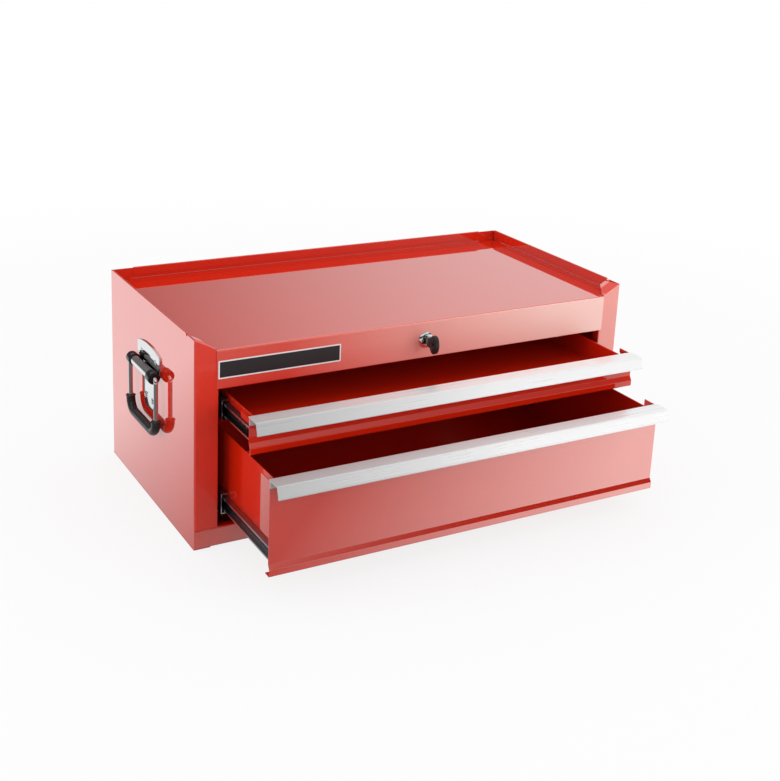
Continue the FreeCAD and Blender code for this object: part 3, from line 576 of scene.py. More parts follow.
class Workpiece:
    """A mesh that is shaped in edit mode, as by hand."""

    def __init__(self, name: str) -> None:
        """Takes up the primitive that was just added, with its place in its mesh.

        Args:
            name: the piece's name.
        """
        self.object = bpy.context.object
        self.object.name = self.object.data.name = name
        bpy.ops.object.transform_apply(location=True, rotation=True, scale=True)
        bpy.ops.object.mode_set(mode="EDIT")

    @staticmethod
    def clear_bench() -> None:
        """Leaves edit mode and deselects everything."""
        if bpy.context.object and bpy.context.object.mode != "OBJECT":
            bpy.ops.object.mode_set(mode="OBJECT")
        bpy.ops.object.select_all(action="DESELECT")

    @classmethod
    def block(cls, name: str, low: Point, high: Point) -> "Workpiece":
        """A block between two corners.

        Args:
            name: the piece's name.
            low: its left, front and lower corner, in metres.
            high: its right, rear and upper corner, in metres.

        Returns:
            The workpiece.
        """
        cls.clear_bench()
        centre = [(a + b) / 2 for a, b in zip(low, high)]
        size = [b - a for a, b in zip(low, high)]
        bpy.ops.mesh.primitive_cube_add(size=1.0, location=centre, scale=size)
        return cls(name)

    @classmethod
    def ring(
        cls, name: str, centre: Point, axis: Point, radius: float, sides: int, filled: bool = True
    ) -> "Workpiece":
        """A flat disc or open ring.

        Args:
            name: the piece's name.
            centre: the disc's middle, in metres.
            axis: the way that it faces.
            radius: its radius, in metres.
            sides: how many sides it has.
            filled: whether it has a face.

        Returns:
            The workpiece.
        """
        cls.clear_bench()
        turn = Vector(Z_AXIS).rotation_difference(Vector(axis)).to_euler()
        bpy.ops.mesh.primitive_circle_add(
            vertices=sides,
            radius=radius,
            fill_type="NGON" if filled else "NOTHING",
            location=centre,
            rotation=turn,
        )
        return cls(name)

    @classmethod
    def again(cls, name: str, source: bpy.types.Object, flip: Point) -> "Workpiece":
        """A mirror image of a finished piece, with a mesh of its own.

        Args:
            name: the copy's name.
            source: the finished piece.
            flip: the scale that mirrors it about the middle of the box.

        Returns:
            The workpiece.
        """
        cls.clear_bench()
        source.select_set(True)
        bpy.context.view_layer.objects.active = source
        bpy.ops.object.duplicate(linked=False)
        return cls(name).whole().stretch(flip, ORIGIN)

    def whole(self) -> "Workpiece":
        """Selects the whole piece."""
        bpy.ops.mesh.select_all(action="SELECT")
        return self

    def faces(self, wanted: PairTest) -> "Workpiece":
        """Selects some faces and nothing else.

        Args:
            wanted: the test on a face's middle and its normal.

        Returns:
            The workpiece.
        """
        self._pick("FACE")
        mesh = bmesh.from_edit_mesh(self.object.data)
        for face in mesh.faces:
            face.select_set(wanted(face.calc_center_median(), face.normal))
        bmesh.update_edit_mesh(self.object.data)
        return self

    def edges(self, wanted: PairTest) -> "Workpiece":
        """Selects some edges and nothing else.

        Args:
            wanted: the test on an edge's two ends.

        Returns:
            The workpiece.
        """
        self._pick("EDGE")
        mesh = bmesh.from_edit_mesh(self.object.data)
        for edge in mesh.edges:
            edge.select_set(wanted(edge.verts[0].co, edge.verts[1].co))
        bmesh.update_edit_mesh(self.object.data)
        return self

    @staticmethod
    def _pick(kind: str) -> None:
        """Turns to faces or edges, with none selected."""
        bpy.ops.mesh.select_mode(type=kind)
        bpy.ops.mesh.select_all(action="DESELECT")

    def extrude(self, move: Point) -> "Workpiece":
        """Pulls what is selected out by a move."""
        bpy.ops.mesh.extrude_region_move(TRANSFORM_OT_translate={"value": move})
        return self

    def inset(self, width: float, depth: float = 0.0) -> "Workpiece":
        """Draws the selected faces in by a width, and raises them by a depth."""
        bpy.ops.mesh.inset(thickness=width, depth=depth, use_even_offset=True)
        return self

    def shift(self, move: Point) -> "Workpiece":
        """Moves what is selected."""
        bpy.ops.transform.translate(value=move)
        return self

    def stretch(self, by: Point, about: Point) -> "Workpiece":
        """Scales what is selected about a point."""
        bpy.ops.transform.resize(value=by, center_override=about)
        return self

    def round(self, width: float, steps: int = 3) -> "Workpiece":
        """Rounds the selected edges."""
        bpy.ops.mesh.bevel(offset=width, segments=steps, affect="EDGES", clamp_overlap=True)
        return self

    def cut(self, places: Iterable[float], axis: Point) -> "Workpiece":
        """Cuts the whole piece across an axis, which leaves it in one with new edges.

        Args:
            places: where along the axis, in metres.
            axis: the axis.

        Returns:
            The workpiece.
        """
        for place in places:
            self.whole()
            bpy.ops.mesh.bisect(plane_co=tuple(a * place for a in axis), plane_no=axis)
        return self

    def sweep(self, centre: Point, axis: Point, angle: float, steps: int) -> "Workpiece":
        """Carries the selected edges round an axis, leaving a skin behind."""
        bpy.ops.mesh.spin(steps=steps, angle=angle, center=centre, axis=axis, use_auto_merge=False)
        return self

    def coat(self, finish: Finish) -> "Workpiece":
        """Adds a finish. The first one is on every face that isn't painted."""
        self.object.data.materials.append(finish.material())
        return self

    def paint(self, finish: Finish) -> "Workpiece":
        """Gives the selected faces a finish of their own.

        Args:
            finish: the finish.

        Returns:
            The workpiece.
        """
        self.coat(finish)
        self.object.active_material_index = len(self.object.data.materials) - 1
        bpy.ops.object.material_slot_assign()
        return self

    def done(
        self,
        finish: Finish,
        body: str,
        replaces: Sequence[str] = (),
        crease: float = 35.0,
    ) -> bpy.types.Object:
        """Ends the work on the piece and sets it in the frame.

        Args:
            finish: the finish of the faces that have none of their own.
            body: the body that it moves with.
            replaces: the nodes that it stands for.
            crease: the angle in degrees past which an edge stays sharp.

        Returns:
            The finished object.
        """
        self.whole()
        bpy.ops.mesh.remove_doubles(threshold=EXACT)
        bpy.ops.mesh.normals_make_consistent(inside=False)
        bpy.ops.object.mode_set(mode="OBJECT")
        bpy.ops.object.shade_smooth_by_angle(angle=math.radians(crease))
        if not self.object.data.materials:
            self.coat(finish)
        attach(self.object, body)
        if replaces:
            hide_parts(*replaces)
        log.info("made %s on %s", self.object.name, body)
        self.clear_bench()
        return self.object


# Sub-assemblies


@dataclass
class SubAssembly(ABC):
    """A group of pieces: its nodes are dressed and its finer pieces made."""

    nodes: Mapping[str, bpy.types.Object]

    def dress(self, finish: Finish, *names: str) -> None:
        """Gives some nodes a finish.

        Args:
            finish: the finish.
            names: the nodes' names.
        """
        for name in names:
            slots = self.nodes[name].material_slots
            for slot in slots:
                slot.material = finish.material()
            if not slots:
                self.nodes[name].data.materials.append(finish.material())
            log.info("dressed %s in %s", name, finish.title)

    @abstractmethod
    def build(self) -> None:
        """Makes and dresses the group's pieces."""


@dataclass
class Cabinet(SubAssembly):
    """The folded body: sides, tray, back, bottom and the uprights inside."""

    def build(self) -> None:
        """Dresses the sheet pieces in enamel."""
        self.dress(TRAY_RED, "top_panel")
        self.dress(RED, "back_panel", "bottom_panel")
        for side in Side:
            self.dress(POST_RED, side.node("side_panel"))
            self.dress(RED, side.node("front_upright"), side.node("rear_upright"))


@dataclass
class NamePlate(SubAssembly):
    """The blank plate on the fascia: a dark field in a pale border."""

    corner: float = 0.8 * MM
    border: float = 1.5 * MM
    recess: float = 0.2 * MM
    step: float = 0.1 * MM

    def build(self) -> None:
        """Models the plate with its sunk field."""
        low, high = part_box("name_plate")
        piece = Workpiece.block("blank_plate", tuple(low), tuple(high))
        piece.coat(PLATE_BORDER).faces(lambda c, n: n.y < -FACING).inset(self.border)
        piece.inset(self.step, -self.recess).paint(PLATE_FIELD)
        thick = high.y - low.y
        piece.edges(lambda a, b: abs(a.y - b.y) > thick - TOUCH).round(self.corner)
        piece.done(PLATE_BORDER, "cabinet", ["name_plate"])


@dataclass
class Drawer(SubAssembly):
    """One drawer: its pan, front and pull. Places along Y are those of the shut drawer."""

    level: Level
    enamel: Finish
    half_width: float = 283.5 * MM
    notch: float = 271.7 * MM
    plate: float = 1.6 * MM
    nose: tuple[float, float] = (-180.0 * MM, -178.4 * MM)
    front_leg: tuple[float, float] = (-161.4 * MM, -160.0 * MM)
    rear_leg: tuple[float, float] = (-159.0 * MM, -157.6 * MM)
    leg: float = 9.0 * MM
    nose_drop: float = 13.2 * MM
    nose_lean: float = 4.0 * MM
    bead_drop: float = 2.0 * MM
    bead_out: float = 0.9 * MM
    nose_round: float = 1.1 * MM
    bead_round: float = 0.6 * MM
    back_round: float = 0.4 * MM

    @property
    def body(self) -> str:
        """The body that the drawer's pieces ride on."""
        return self.level.node("drawer")

    def build(self) -> None:
        """Dresses the pan and front, and models the pull."""
        self.dress(SHADED_PAN_RED, self.level.node("drawer_pan"))
        self.dress(self.enamel, self.level.node("drawer_front"))
        self.dress(ZINC, self.level.node("drawer_slide_rivets"))
        self.make_pull()

    def make_pull(self) -> None:
        """Models the drawn pull: top plate, leaning nose with its bead, and two legs."""
        top, opened = self.level.top, self.level.opened
        front, nose_in = (y - opened for y in self.nose)
        front_leg, front_leg_back = (y - opened for y in self.front_leg)
        rear_leg, back = (y - opened for y in self.rear_leg)
        piece = Workpiece.block(
            self.level.node("pull_profile"),
            (-self.half_width, front, top - self.plate),
            (self.half_width, back, top),
        )
        piece.cut([nose_in, front_leg, front_leg_back, rear_leg], Y_AXIS)
        piece.cut([-self.notch, self.notch], X_AXIS)
        lean = self.nose_lean / self.nose_drop

        def below(low: float, high: float, reach: float = self.half_width) -> PairTest:
            """A test for downward faces between two Y places, within a reach of X."""
            return lambda c, n: n.z < -FACING and low < c.y < high and abs(c.x) < reach

        piece.faces(below(front, nose_in)).shift((0.0, -lean * self.plate, 0.0))
        piece.faces(below(front - self.nose_lean, nose_in))
        drop = self.nose_drop - self.plate
        piece.extrude((0.0, -lean * drop, -drop))
        piece.extrude((0.0, 0.0, -self.bead_drop))
        bead_top, ahead = top - self.nose_drop, front - self.nose_lean / 2
        piece.faces(lambda c, n: n.y < -FACING and c.z < bead_top and c.y < ahead)
        piece.extrude((0.0, -self.bead_out, 0.0))
        piece.faces(below(front_leg, front_leg_back)).extrude((0.0, 0.0, -self.leg))
        piece.faces(below(rear_leg, back, self.notch)).extrude((0.0, 0.0, -self.leg))

        def along(place: PlaceTest) -> PairTest:
            """A test for edges that run along X at a place."""
            return lambda a, b: abs(a.x - b.x) > LONG and place(a) and place(b)

        bead = front - self.nose_lean - self.bead_out / 2
        piece.edges(along(lambda v: v.z > top - TOUCH and v.y < front + TOUCH))
        piece.round(self.nose_round, steps=5)
        piece.edges(along(lambda v: v.y < bead)).round(self.bead_round, steps=4)
        piece.edges(along(lambda v: v.z > top - TOUCH and v.y > back - TOUCH))
        piece.round(self.back_round, steps=2)
        piece.done(PULL, self.body, [self.level.node("drawer_pull")])


@dataclass(frozen=True)
class Channel:
    """A rail's section: its web's back and its lips' ends from the middle of the box."""

    web: float
    lip: float
    half_height: float
    curl: float


@dataclass
class Slides(SubAssembly):
    """The ball slides of one drawer: modelled on the left and copied to the right."""

    level: Level
    strip: Finish
    edge: Finish
    ends: tuple[float, float] = (-157.0 * MM, 143.0 * MM)
    inner: Channel = Channel(273.5 * MM, 280.8 * MM, 9.0 * MM, 1.7 * MM)
    outer: Channel = Channel(283.5 * MM, 275.3 * MM, 13.5 * MM, 0.8 * MM)
    sheet: float = 1.1 * MM
    fold: float = 0.5 * MM
    stop: float = 280.4 * MM
    tab: float = 2.5 * MM
    tab_rise: float = 0.5 * MM
    tab_rim: float = 0.4 * MM
    tabs: tuple[float, ...] = (10.0 * MM, 23.0 * MM, 36.0 * MM)

    def build(self) -> None:
        """Dresses the cages and balls, and models the rails."""
        for side in Side:
            self.dress(ZINC, self.level.node(side.node("cage")))
            self.dress(BALL, self.level.node(side.node("balls")))
        front, rear = (y - self.level.opened for y in self.ends)
        rail = self.channel("drawer_rail", self.inner, (front, rear))
        self.punch(rail, front)
        self.finish(rail, self.level.node("drawer"), "{0}_drawer_{1}_rail")
        rail = self.channel("cabinet_rail", self.outer, self.ends)
        self.finish(rail, "cabinet", "{1}_{0}_cabinet_rail")

    def finish(self, piece: Workpiece, body: str, pattern: str) -> None:
        """Ends a left rail and makes its mirror image on the right.

        Args:
            piece: the left rail.
            body: the body that both rails move with.
            pattern: the name of their nodes, with gaps for the level and the side.
        """
        level = self.level.name.lower()
        left = piece.done(self.strip, body, [pattern.format(level, "left")], SOFT_CREASE)
        twin = Workpiece.again(left.name.replace("left", "right"), left, ACROSS)
        twin.done(self.strip, body, [pattern.format(level, "right")], SOFT_CREASE)

    def channel(self, name: str, rail: Channel, ends: tuple[float, float]) -> Workpiece:
        """Models a left rail: a folded channel with curled lips and bare cut edges.

        Args:
            name: what the rail is.
            rail: its section.
            ends: its front and rear end.

        Returns:
            The workpiece.
        """
        out = -1.0 if rail.lip > rail.web else 1.0
        left, right = sorted((-rail.web, -rail.web + out * self.sheet))
        front, rear = ends
        middle, half = self.level.slide, rail.half_height
        low, high = (left, front, middle - half), (right, rear, middle + half)
        piece = Workpiece.block(f"{self.level.node('left')}_{name}", low, high)
        inside = half - self.sheet
        piece.coat(self.strip).cut([middle - inside, middle + inside], Z_AXIS)
        piece.faces(lambda c, n: n.x * out > FACING and abs(c.z - middle) > inside)
        piece.extrude((out * (abs(rail.lip - rail.web) - 2 * self.sheet), 0.0, 0.0))
        piece.extrude((out * self.sheet, 0.0, 0.0))
        lip_side = -rail.lip - out * self.sheet / 2
        for turn in (1.0, -1.0):
            piece.faces(
                lambda c, n: n.z * turn < -FACING
                and abs(c.x - lip_side) < self.sheet / 2
                and 0.0 < (c.z - middle) * turn < inside + TOUCH
            ).extrude((0.0, 0.0, -turn * rail.curl))
        piece.edges(lambda a, b: abs(a.y - b.y) > LONG and abs(abs(a.z - middle) - half) < EXACT)
        piece.round(self.fold, steps=2)
        piece.faces(
            lambda c, n: abs(n.y) > FACING
            or (n.x * out > FACING and abs(c.x + rail.lip) < TOUCH)
        )
        return piece.paint(self.edge)

    def punch(self, piece: Workpiece, front: float) -> None:
        """Gives the drawer's rail its raised tabs and its front stop.

        Args:
            piece: the rail.
            front: its front end.
        """
        middle, face = self.level.slide, self.inner.web + self.sheet
        lines = [front + y + side for y in self.tabs for side in (-self.tab, self.tab)]
        piece.cut([front + self.sheet, *lines], Y_AXIS)
        piece.cut([middle - self.tab, middle + self.tab], Z_AXIS)

        def web(c: Vector, n: Vector) -> bool:
            """Whether a face with this middle and normal is on the web's outer side."""
            return n.x < -FACING and abs(c.x + face) < TOUCH

        piece.faces(lambda c, n: web(c, n) and c.y < front + self.sheet)
        piece.extrude((face - self.stop, 0.0, 0.0)).paint(self.edge)
        for place in self.tabs:
            piece.faces(
                lambda c, n: web(c, n)
                and abs(c.y - front - place) < self.tab
                and abs(c.z - middle) < self.tab
            )
            piece.extrude((-self.tab_rise, 0.0, 0.0)).inset(self.tab_rim, self.tab_rim)
            piece.paint(self.edge)


@dataclass
class Handles(SubAssembly):
    """The hinged carrying handles: modelled on the left and copied to the right."""

    axis: Point = (-329.6 * MM, 0.0, 188.0 * MM)
    wall: float = -320.0 * MM
    plate: float = 1.2 * MM
    head: float = 2.0 * MM
    crown: float = 219.0 * MM
    outline: tuple[tuple[float, float], ...] = (
        (42.5 * MM, 198.0 * MM),
        (25.5 * MM, 168.0 * MM),
        (14.0 * MM, 130.0 * MM),
    )
    rise: float = 6.0 * MM
    rise_steps: int = 6
    shoulder_round: float = 2.5 * MM
    waist_round: float = 9.0 * MM
    foot_round: float = 6.0 * MM
    rim_round: float = 0.6 * MM
    barrel: tuple[float, float] = (6.5 * MM, 31.0 * MM)
    roll: float = math.radians(318.0)
    roll_steps: int = 36
    bush: tuple[float, float] = (8.2 * MM, 45.0 * MM)
    bush_rounds: tuple[float, float] = (0.8 * MM, 1.4 * MM)
    bush_rim: float = 1.6 * MM
    bush_sink: tuple[float, float] = (0.5 * MM, 0.8 * MM)
    bush_sides: int = 40
    reach: float = 50.0 * MM
    corner: float = 17.0 * MM
    corner_steps: int = 8
    bar: float = 113.0 * MM
    sleeve_top: float = 132.0 * MM
    sleeve: float = 6.0 * MM
    sleeve_sides: int = 28
    collar: float = 6.7 * MM
    collar_height: float = 0.8 * MM
    collar_round: float = 0.7 * MM

    def build(self) -> None:
        """Dresses the rods and rivets, and models the rest."""
        for side in Side:
            self.dress(CHROME, side.node("bail"), side.node("handle_rivets"))
        self.finish(self.make_plate(), CHROME, "{}_handle_shield", "handle_plate")
        self.finish(self.make_barrel(), CHROME, "{}_hinge_barrel")
        rear = self.finish(self.make_bush(), BUSH, "{}_rear_bush", "handle_bushes")
        front = Workpiece.again("bush", rear, END_FOR_END)
        self.finish(front, BUSH, "{}_front_bush")
        self.finish(self.make_sleeve(), RUBBER, "{}_grip_sleeve", "grip", "bail")

    def finish(
        self, piece: Workpiece, finish: Finish, name: str, node: str = "", body: str = ""
    ) -> bpy.types.Object:
        """Ends a left piece and makes its mirror image on the right.

        Args:
            piece: the left piece.
            finish: its finish.
            name: its name, with a gap for the side.
            node: the node that it stands for, if any.
            body: the side's body that it moves with, if not the cabinet.

        Returns:
            The left piece.
        """
        made: list[bpy.types.Object] = []
        for side in Side:
            if made:
                piece = Workpiece.again("copy", made[0], ACROSS)
            piece.object.name = piece.object.data.name = name.format(side.name.lower())
            rides = side.node(body) if body else "cabinet"
            stands_for = [side.node(node)] if node else []
            made.append(piece.done(finish, rides, stands_for, SOFT_CREASE))
        return made[0]

    def make_plate(self) -> Workpiece:
        """Models the shield: a jogged head with square shoulders, tapering to its foot.

        Returns:
            The workpiece.
        """
        (whole, shoulder), (_, waist), (_, foot) = self.outline
        front = self.wall - self.head
        piece = Workpiece.block("shield", (front, -whole, shoulder), (self.wall, whole, self.crown))
        thin = self.wall - self.plate
        piece.cut([thin], X_AXIS)
        piece.faces(lambda c, n: n.z < -FACING and c.x > thin)
        for (wide, high), (narrow, low) in zip(self.outline[:-1], self.outline[1:]):
            piece.extrude((0.0, 0.0, low - high))
            piece.stretch((1.0, narrow / wide, 1.0), (self.wall, 0.0, low))
        self.arch(piece, whole)
        high = shoulder + LONG
        piece.edges(lambda a, b: through(a, b) and abs(abs(a.y) - whole) < TOUCH and a.z > high)
        piece.round(self.shoulder_round, steps=4)
        piece.edges(lambda a, b: through(a, b) and a.z < foot + TOUCH)
        piece.round(self.foot_round, steps=5)
        piece.edges(lambda a, b: through(a, b) and abs(a.z - waist) < TOUCH)
        piece.round(self.waist_round, steps=5)
        piece.edges(both_ends(lambda v: abs(v.x - front) < TOUCH and v.z > high))
        return piece.round(self.rim_round)

    def arch(self, piece: Workpiece, whole: float) -> None:
        """Lowers the shield's top edge toward its shoulders in a shallow arc.

        Args:
            piece: the shield.
            whole: half its width.
        """
        steps = [whole * i / self.rise_steps for i in range(1, self.rise_steps + 1)]
        piece.cut([sign * step for step in steps[:-1] for sign in (-1, 1)], Y_AXIS)
        for step in steps:
            piece.edges(
                lambda a, b: min(a.z, b.z) > self.crown - TOUCH
                and abs(abs(a.y) - step) < TOUCH
                and abs(a.y - b.y) < EXACT
            )
            piece.shift((0.0, 0.0, -self.rise * (step / whole) ** 2))

    def make_barrel(self) -> Workpiece:
        """Models the barrel: a strap that leaves the shield and rolls round the rod.

        Returns:
            The workpiece.
        """
        radius, half = self.barrel
        x, _, z = self.axis
        low = (x, -half, z - radius)
        high = (self.wall - self.plate, half, z - radius + self.plate)
        piece = Workpiece.block("barrel", low, high)
        piece.faces(lambda c, n: n.x < -FACING)
        return piece.sweep(self.axis, Y_AXIS, -self.roll, self.roll_steps)

    def make_bush(self) -> Workpiece:
        """Models the rear bush: a rounded collar with a sunk end.

        Returns:
            The workpiece.
        """
        radius, end = self.bush
        x, _, z = self.axis
        start = self.barrel[1]
        piece = Workpiece.ring("bush", (x, start, z), Y_AXIS, radius, self.bush_sides)
        piece.whole().extrude((0.0, end - start, 0.0))
        start_round, end_round = self.bush_rounds
        sink, depth = self.bush_sink
        piece.edges(both_ends(lambda v: v.y > end - TOUCH)).round(end_round, steps=4)
        piece.faces(lambda c, n: abs(n.y) > FACING and c.y > end - TOUCH)
        piece.inset(self.bush_rim).inset(sink, -depth)
        return piece.edges(both_ends(lambda v: v.y < start + TOUCH)).round(start_round)

    def make_sleeve(self) -> Workpiece:
        """Models the moulded sleeve round the bail, with a collar at each end.

        Returns:
            The workpiece.
        """
        x = self.axis[0]
        start = (x, -self.reach, self.sleeve_top)
        piece = Workpiece.ring("sleeve", start, Z_AXIS, self.collar, self.sleeve_sides)
        bend_z = self.bar + self.corner
        bend_y = self.reach - self.corner
        neck = self.sleeve_top - self.collar_height
        thin, wide = self.sleeve / self.collar, self.collar / self.sleeve
        piece.whole().extrude((0.0, 0.0, neck - self.sleeve_top))
        piece.extrude((0.0, 0.0, bend_z - neck))
        piece.stretch((thin, thin, 1.0), (x, -self.reach, bend_z))
        piece.sweep((x, -bend_y, bend_z), X_AXIS, -math.pi / 2, self.corner_steps)
        piece.extrude((0.0, 2 * bend_y, 0.0))
        piece.sweep((x, bend_y, bend_z), X_AXIS, -math.pi / 2, self.corner_steps)
        piece.extrude((0.0, 0.0, neck - bend_z))
        piece.stretch((wide, wide, 1.0), (x, self.reach, neck))
        piece.extrude((0.0, 0.0, self.sleeve_top - neck))
        piece.edges(both_ends(lambda v: v.z > self.sleeve_top - TOUCH))
        return piece.round(self.collar_round)


@dataclass
class Lock(SubAssembly):
    """The barrel lock with its key, and the bar that it moves."""

    centre: float = 234.75 * MM
    bow: tuple[float, float] = (-191.0 * MM, -175.0 * MM)
    bow_half: float = 12.5 * MM
    bow_sides: int = 36
    thick: float = 3.0 * MM
    hole: float = 2.6 * MM
    hole_shift: Point = (0.0, -1.5 * MM, 1.0 * MM)
    bow_round: float = 1.2 * MM
    bow_flat: float = 0.95  # the share of a normal that makes a face one of the bow's flats
    bow_rim: float = 1.2 * MM
    bow_sink: tuple[float, float] = (0.4 * MM, 0.5 * MM)
    stem: tuple[float, float] = (-179.0 * MM, -169.0 * MM)
    stem_half: float = 6.0 * MM
    stem_taper: float = 0.8
    stem_round: float = 0.6 * MM

    def build(self) -> None:
        """Dresses the lock's metal and the key's blade, and models the bow and its stem."""
        self.dress(CHROME, "lock_housing", "lock_plug")
        self.dress(ZINC, "lock_nut", "lock_cam", "cam_screw", "lock_bar", "lock_bar_guides")
        self.dress(ZINC, "slide_screws")
        self.dress(KEY, "key_blade")
        self.make_bow()
        self.make_stem()

    def make_bow(self) -> None:
        """Models the key's bow: an oval with a ring's hole toward its tip and a raised rim."""
        front, back = self.bow
        middle = Vector((0.0, (front + back) / 2, self.centre))
        half = (back - front) / 2
        shift = Vector(self.hole_shift)
        eye = tuple(middle + shift)
        piece = Workpiece.ring("key_grip", eye, X_AXIS, self.hole, self.bow_sides, False).whole()
        bpy.ops.mesh.extrude_edges_move()
        piece.stretch((1.0, half / self.hole, self.bow_half / self.hole), eye)
        piece.shift(tuple(-shift))
        piece.faces(lambda c, n: True)
        piece.shift((-self.thick, 0.0, 0.0)).extrude((2 * self.thick, 0.0, 0.0))

        def outer(v: Vector) -> bool:
            """Whether a place is on the bow's outer edge."""
            return math.hypot(v.y - middle.y, v.z - middle.z) > half - TOUCH

        piece.edges(lambda a, b: outer(a) and outer(b) and abs(a.x - b.x) < EXACT)
        piece.round(self.bow_round)
        sink, depth = self.bow_sink
        piece.faces(lambda c, n: abs(n.x) > self.bow_flat)
        piece.inset(self.bow_rim).inset(sink, -depth)
        piece.done(RUBBER, "key", ["key_bow"])

    def make_stem(self) -> None:
        """Models the stem between the bow and the lock, a little smaller toward the lock."""
        (front, back), half = self.stem, self.stem_half
        piece = Workpiece.block(
            "key_stem",
            (-self.thick, front, self.centre - half),
            (self.thick, back, self.centre + half),
        )
        piece.faces(lambda c, n: n.y > FACING).extrude(ORIGIN)
        piece.stretch((self.stem_taper, 1.0, self.stem_taper), (0.0, back, self.centre))
        piece.edges(lambda a, b: True).round(self.stem_round, steps=2)
        piece.done(RUBBER, "key")


# Studio


@dataclass(frozen=True)
class Softbox:
    """One soft lamp: where it stands, what it looks at, its size and power."""

    name: str
    place: Point
    aim: Point
    size: tuple[float, float]
    power: float

    def build(self) -> None:
        """Hangs the lamp, which neither the camera nor a mirror sees."""
        lamp = bpy.data.lights.new(self.name, "AREA")
        lamp.shape = "RECTANGLE"
        lamp.size, lamp.size_y = self.size
        lamp.energy = self.power
        holder = bpy.data.objects.new(self.name, lamp)
        toward = Vector(self.aim) - Vector(self.place)
        holder.matrix_world = Matrix.Translation(self.place) @ (
            toward.to_track_quat("-Z", "Y").to_matrix().to_4x4()
        )
        holder.visible_camera = False
        holder.visible_glossy = False
        bpy.context.scene.collection.objects.link(holder)
        log.info("hung %s", self.name)


@dataclass
class Viewpoint:
    """The camera, in degrees from the Y axis to the right, down and rolled."""

    turn: float = 29.305
    dip: float = 15.829
    roll: float = 2.377
    place: Point = (-0.83611, -1.49359, 0.78449)
    lens: float = 58.682
    film: float = 36.0
    shift: tuple[float, float] = (0.0256, -0.1665)

    def build(self) -> None:
        """Sets the camera up."""
        turn, dip, roll = (math.radians(a) for a in (self.turn, self.dip, self.roll))
        ahead = Vector(
            (math.sin(turn) * math.cos(dip), math.cos(turn) * math.cos(dip), -math.sin(dip))
        )
        level = ahead.cross(Vector(Z_AXIS)).normalized()
        over = level.cross(ahead)
        right = level * math.cos(roll) + over * math.sin(roll)
        up = over * math.cos(roll) - level * math.sin(roll)
        lens = bpy.data.cameras.new("viewpoint")
        lens.lens = self.lens
        lens.sensor_width = self.film
        lens.shift_x, lens.shift_y = self.shift
        camera = bpy.data.objects.new("viewpoint", lens)
        turned = Matrix((right, up, -ahead)).transposed().to_4x4()
        camera.matrix_world = Matrix.Translation(self.place) @ turned
        bpy.context.scene.collection.objects.link(camera)
        bpy.context.scene.camera = camera


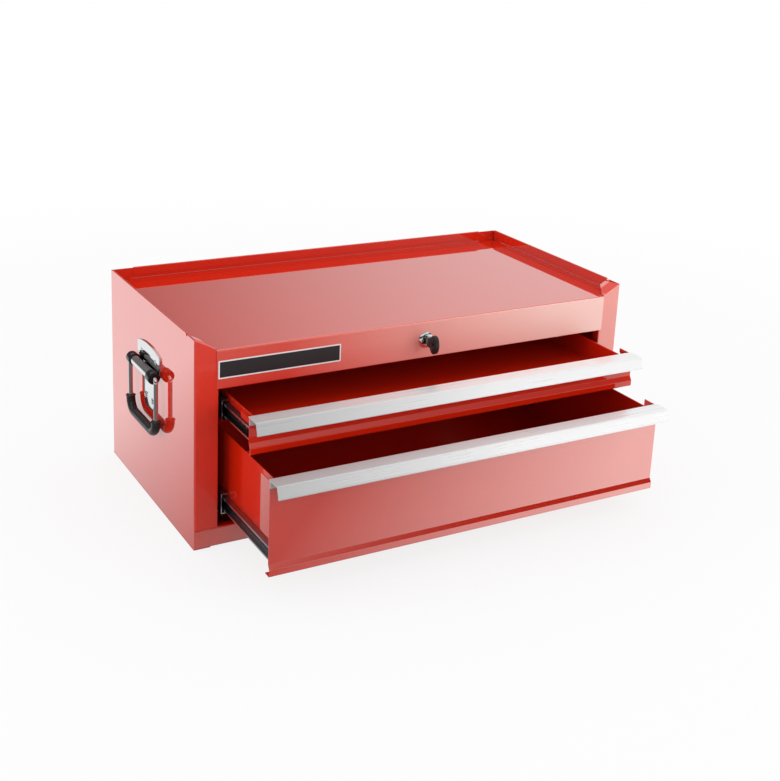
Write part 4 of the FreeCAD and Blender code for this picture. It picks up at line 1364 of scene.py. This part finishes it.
@dataclass
class Studio:
    """A white room, brighter behind and to the right, with soft lamps and the camera."""

    floor: float = 9.0
    fade: tuple[float, float] = (0.9, 1.8)
    floor_shade: float = 0.88
    floor_lift: float = 0.82
    floor_mirror: float = 0.85
    floor_ramp: tuple[float, float] = (-0.62, -0.07)
    ambient: float = 0.75
    gloom: float = 0.02
    right_ramp: tuple[float, float] = (0.22, 0.62)
    left_share: float = 0.18
    behind_ramp: tuple[float, float] = (-0.1, 0.5)
    behind_share: float = 0.76
    horizon: tuple[float, float] = (0.08, 0.32)
    ceiling: tuple[float, float] = (0.42, 0.6)
    ceiling_share: float = 0.9
    zenith: tuple[float, float] = (0.75, 0.95)
    zenith_loss: float = 0.4
    lamps: tuple[Softbox, ...] = (
        Softbox("overhead", (0.3, 0.2, 2.4), (0.0, 0.0, 0.1), (2.6, 2.6), 13.0),
        Softbox("key", (1.5, -2.3, 0.9), (0.1, 0.0, 0.1), (1.6, 1.6), 20.0),
        Softbox("fill", (-2.4, 0.2, 1.0), (0.0, 0.0, 0.1), (1.6, 1.6), 13.5),
    )

    def build(self) -> None:
        """Builds the floor, the white around it, the lamps and the camera."""
        bpy.context.scene.view_settings.view_transform = "Standard"
        self.lay_floor()
        self.light_room()
        for lamp in self.lamps:
            lamp.build()
        Viewpoint().build()

    def lay_floor(self) -> None:
        """Lays a white floor that holds the shadow and fades to plain white far off."""
        Workpiece.clear_bench()
        bpy.ops.mesh.primitive_plane_add(size=2 * self.floor, location=ORIGIN)
        floor = bpy.context.object
        floor.name = "floor"
        material = bpy.data.materials.new("white_floor")
        material.use_nodes = True
        graph = Graph(material.node_tree)
        camera, mirrored = graph.seen_or_mirrored()
        place = graph.position()
        reach = graph.node("ShaderNodeVectorMath", {"operation": "LENGTH"}, {0: place})
        far = Value(graph, reach.outputs["Value"]).spread(*self.fade, smooth=True)
        x, y, _ = graph.axes(place)
        bright = (x + y).spread(*self.floor_ramp) | far
        glow = camera | (bright * (1.0 - self.gloom) + self.gloom)
        seen = camera * (far * (1.0 - self.floor_lift) + self.floor_lift)
        white = {"Color": (*(self.floor_shade,) * 3, 1.0)}
        lit = graph.node("ShaderNodeBsdfDiffuse", None, white).outputs[0]
        plain = graph.node("ShaderNodeEmission", None, {"Strength": glow}).outputs[0]
        feeds = {0: seen | mirrored * self.floor_mirror, 1: lit, 2: plain}
        graph.end(graph.node("ShaderNodeMixShader", None, feeds).outputs[0])
        floor.data.materials.append(material)

    def light_room(self) -> None:
        """Fills the room with white: plain to the eye, graded in mirrors, soft as light."""
        world = bpy.data.worlds.new("white_room")
        bpy.context.scene.world = world
        world.use_nodes = True
        graph = Graph(world.node_tree)
        camera, mirrored = graph.seen_or_mirrored()
        way = graph.node("ShaderNodeTexCoord").outputs["Generated"]
        x, y, height = graph.axes(way)
        right = x.spread(*self.right_ramp, smooth=True)
        behind = y.spread(*self.behind_ramp, smooth=True)
        low = 1.0 - height.spread(*self.horizon, smooth=True)
        top = height.spread(*self.zenith, smooth=True) * self.zenith_loss
        over = height.spread(*self.ceiling, smooth=True) * (self.ceiling_share - top)
        sides = right * (1.0 - self.left_share) + self.left_share
        bright = sides * (behind * self.behind_share | low) | over
        graded = (bright * (1.0 - self.gloom) + self.gloom) * mirrored
        strength = camera | graded | (1.0 - (camera | mirrored)) * self.ambient
        feeds = {"Color": (1.0, 1.0, 1.0, 1.0), "Strength": strength}
        room = graph.node("ShaderNodeBackground", None, feeds)
        graph.node("ShaderNodeOutputWorld", None, {"Surface": room.outputs[0]})


def main() -> None:
    """Dresses the tool box and sets it in its studio."""
    logging.basicConfig(level=logging.INFO, format="%(message)s")
    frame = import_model()
    nodes = frame["nodes"]
    Studio().build()
    assemblies = (
        Cabinet(nodes),
        NamePlate(nodes),
        Drawer(nodes, Level.LOWER, FRONT_RED),
        Drawer(nodes, Level.UPPER, SHADED_UPPER_RED),
        Slides(nodes, Level.LOWER, ZINC, CUT_EDGE),
        Slides(nodes, Level.UPPER, BLACK_STRIP, DARK_EDGE),
        Handles(nodes),
        Lock(nodes),
    )
    for assembly in assemblies:
        log.info("building %s", type(assembly).__name__)
        assembly.build()


if __name__ == "__main__":
    main()
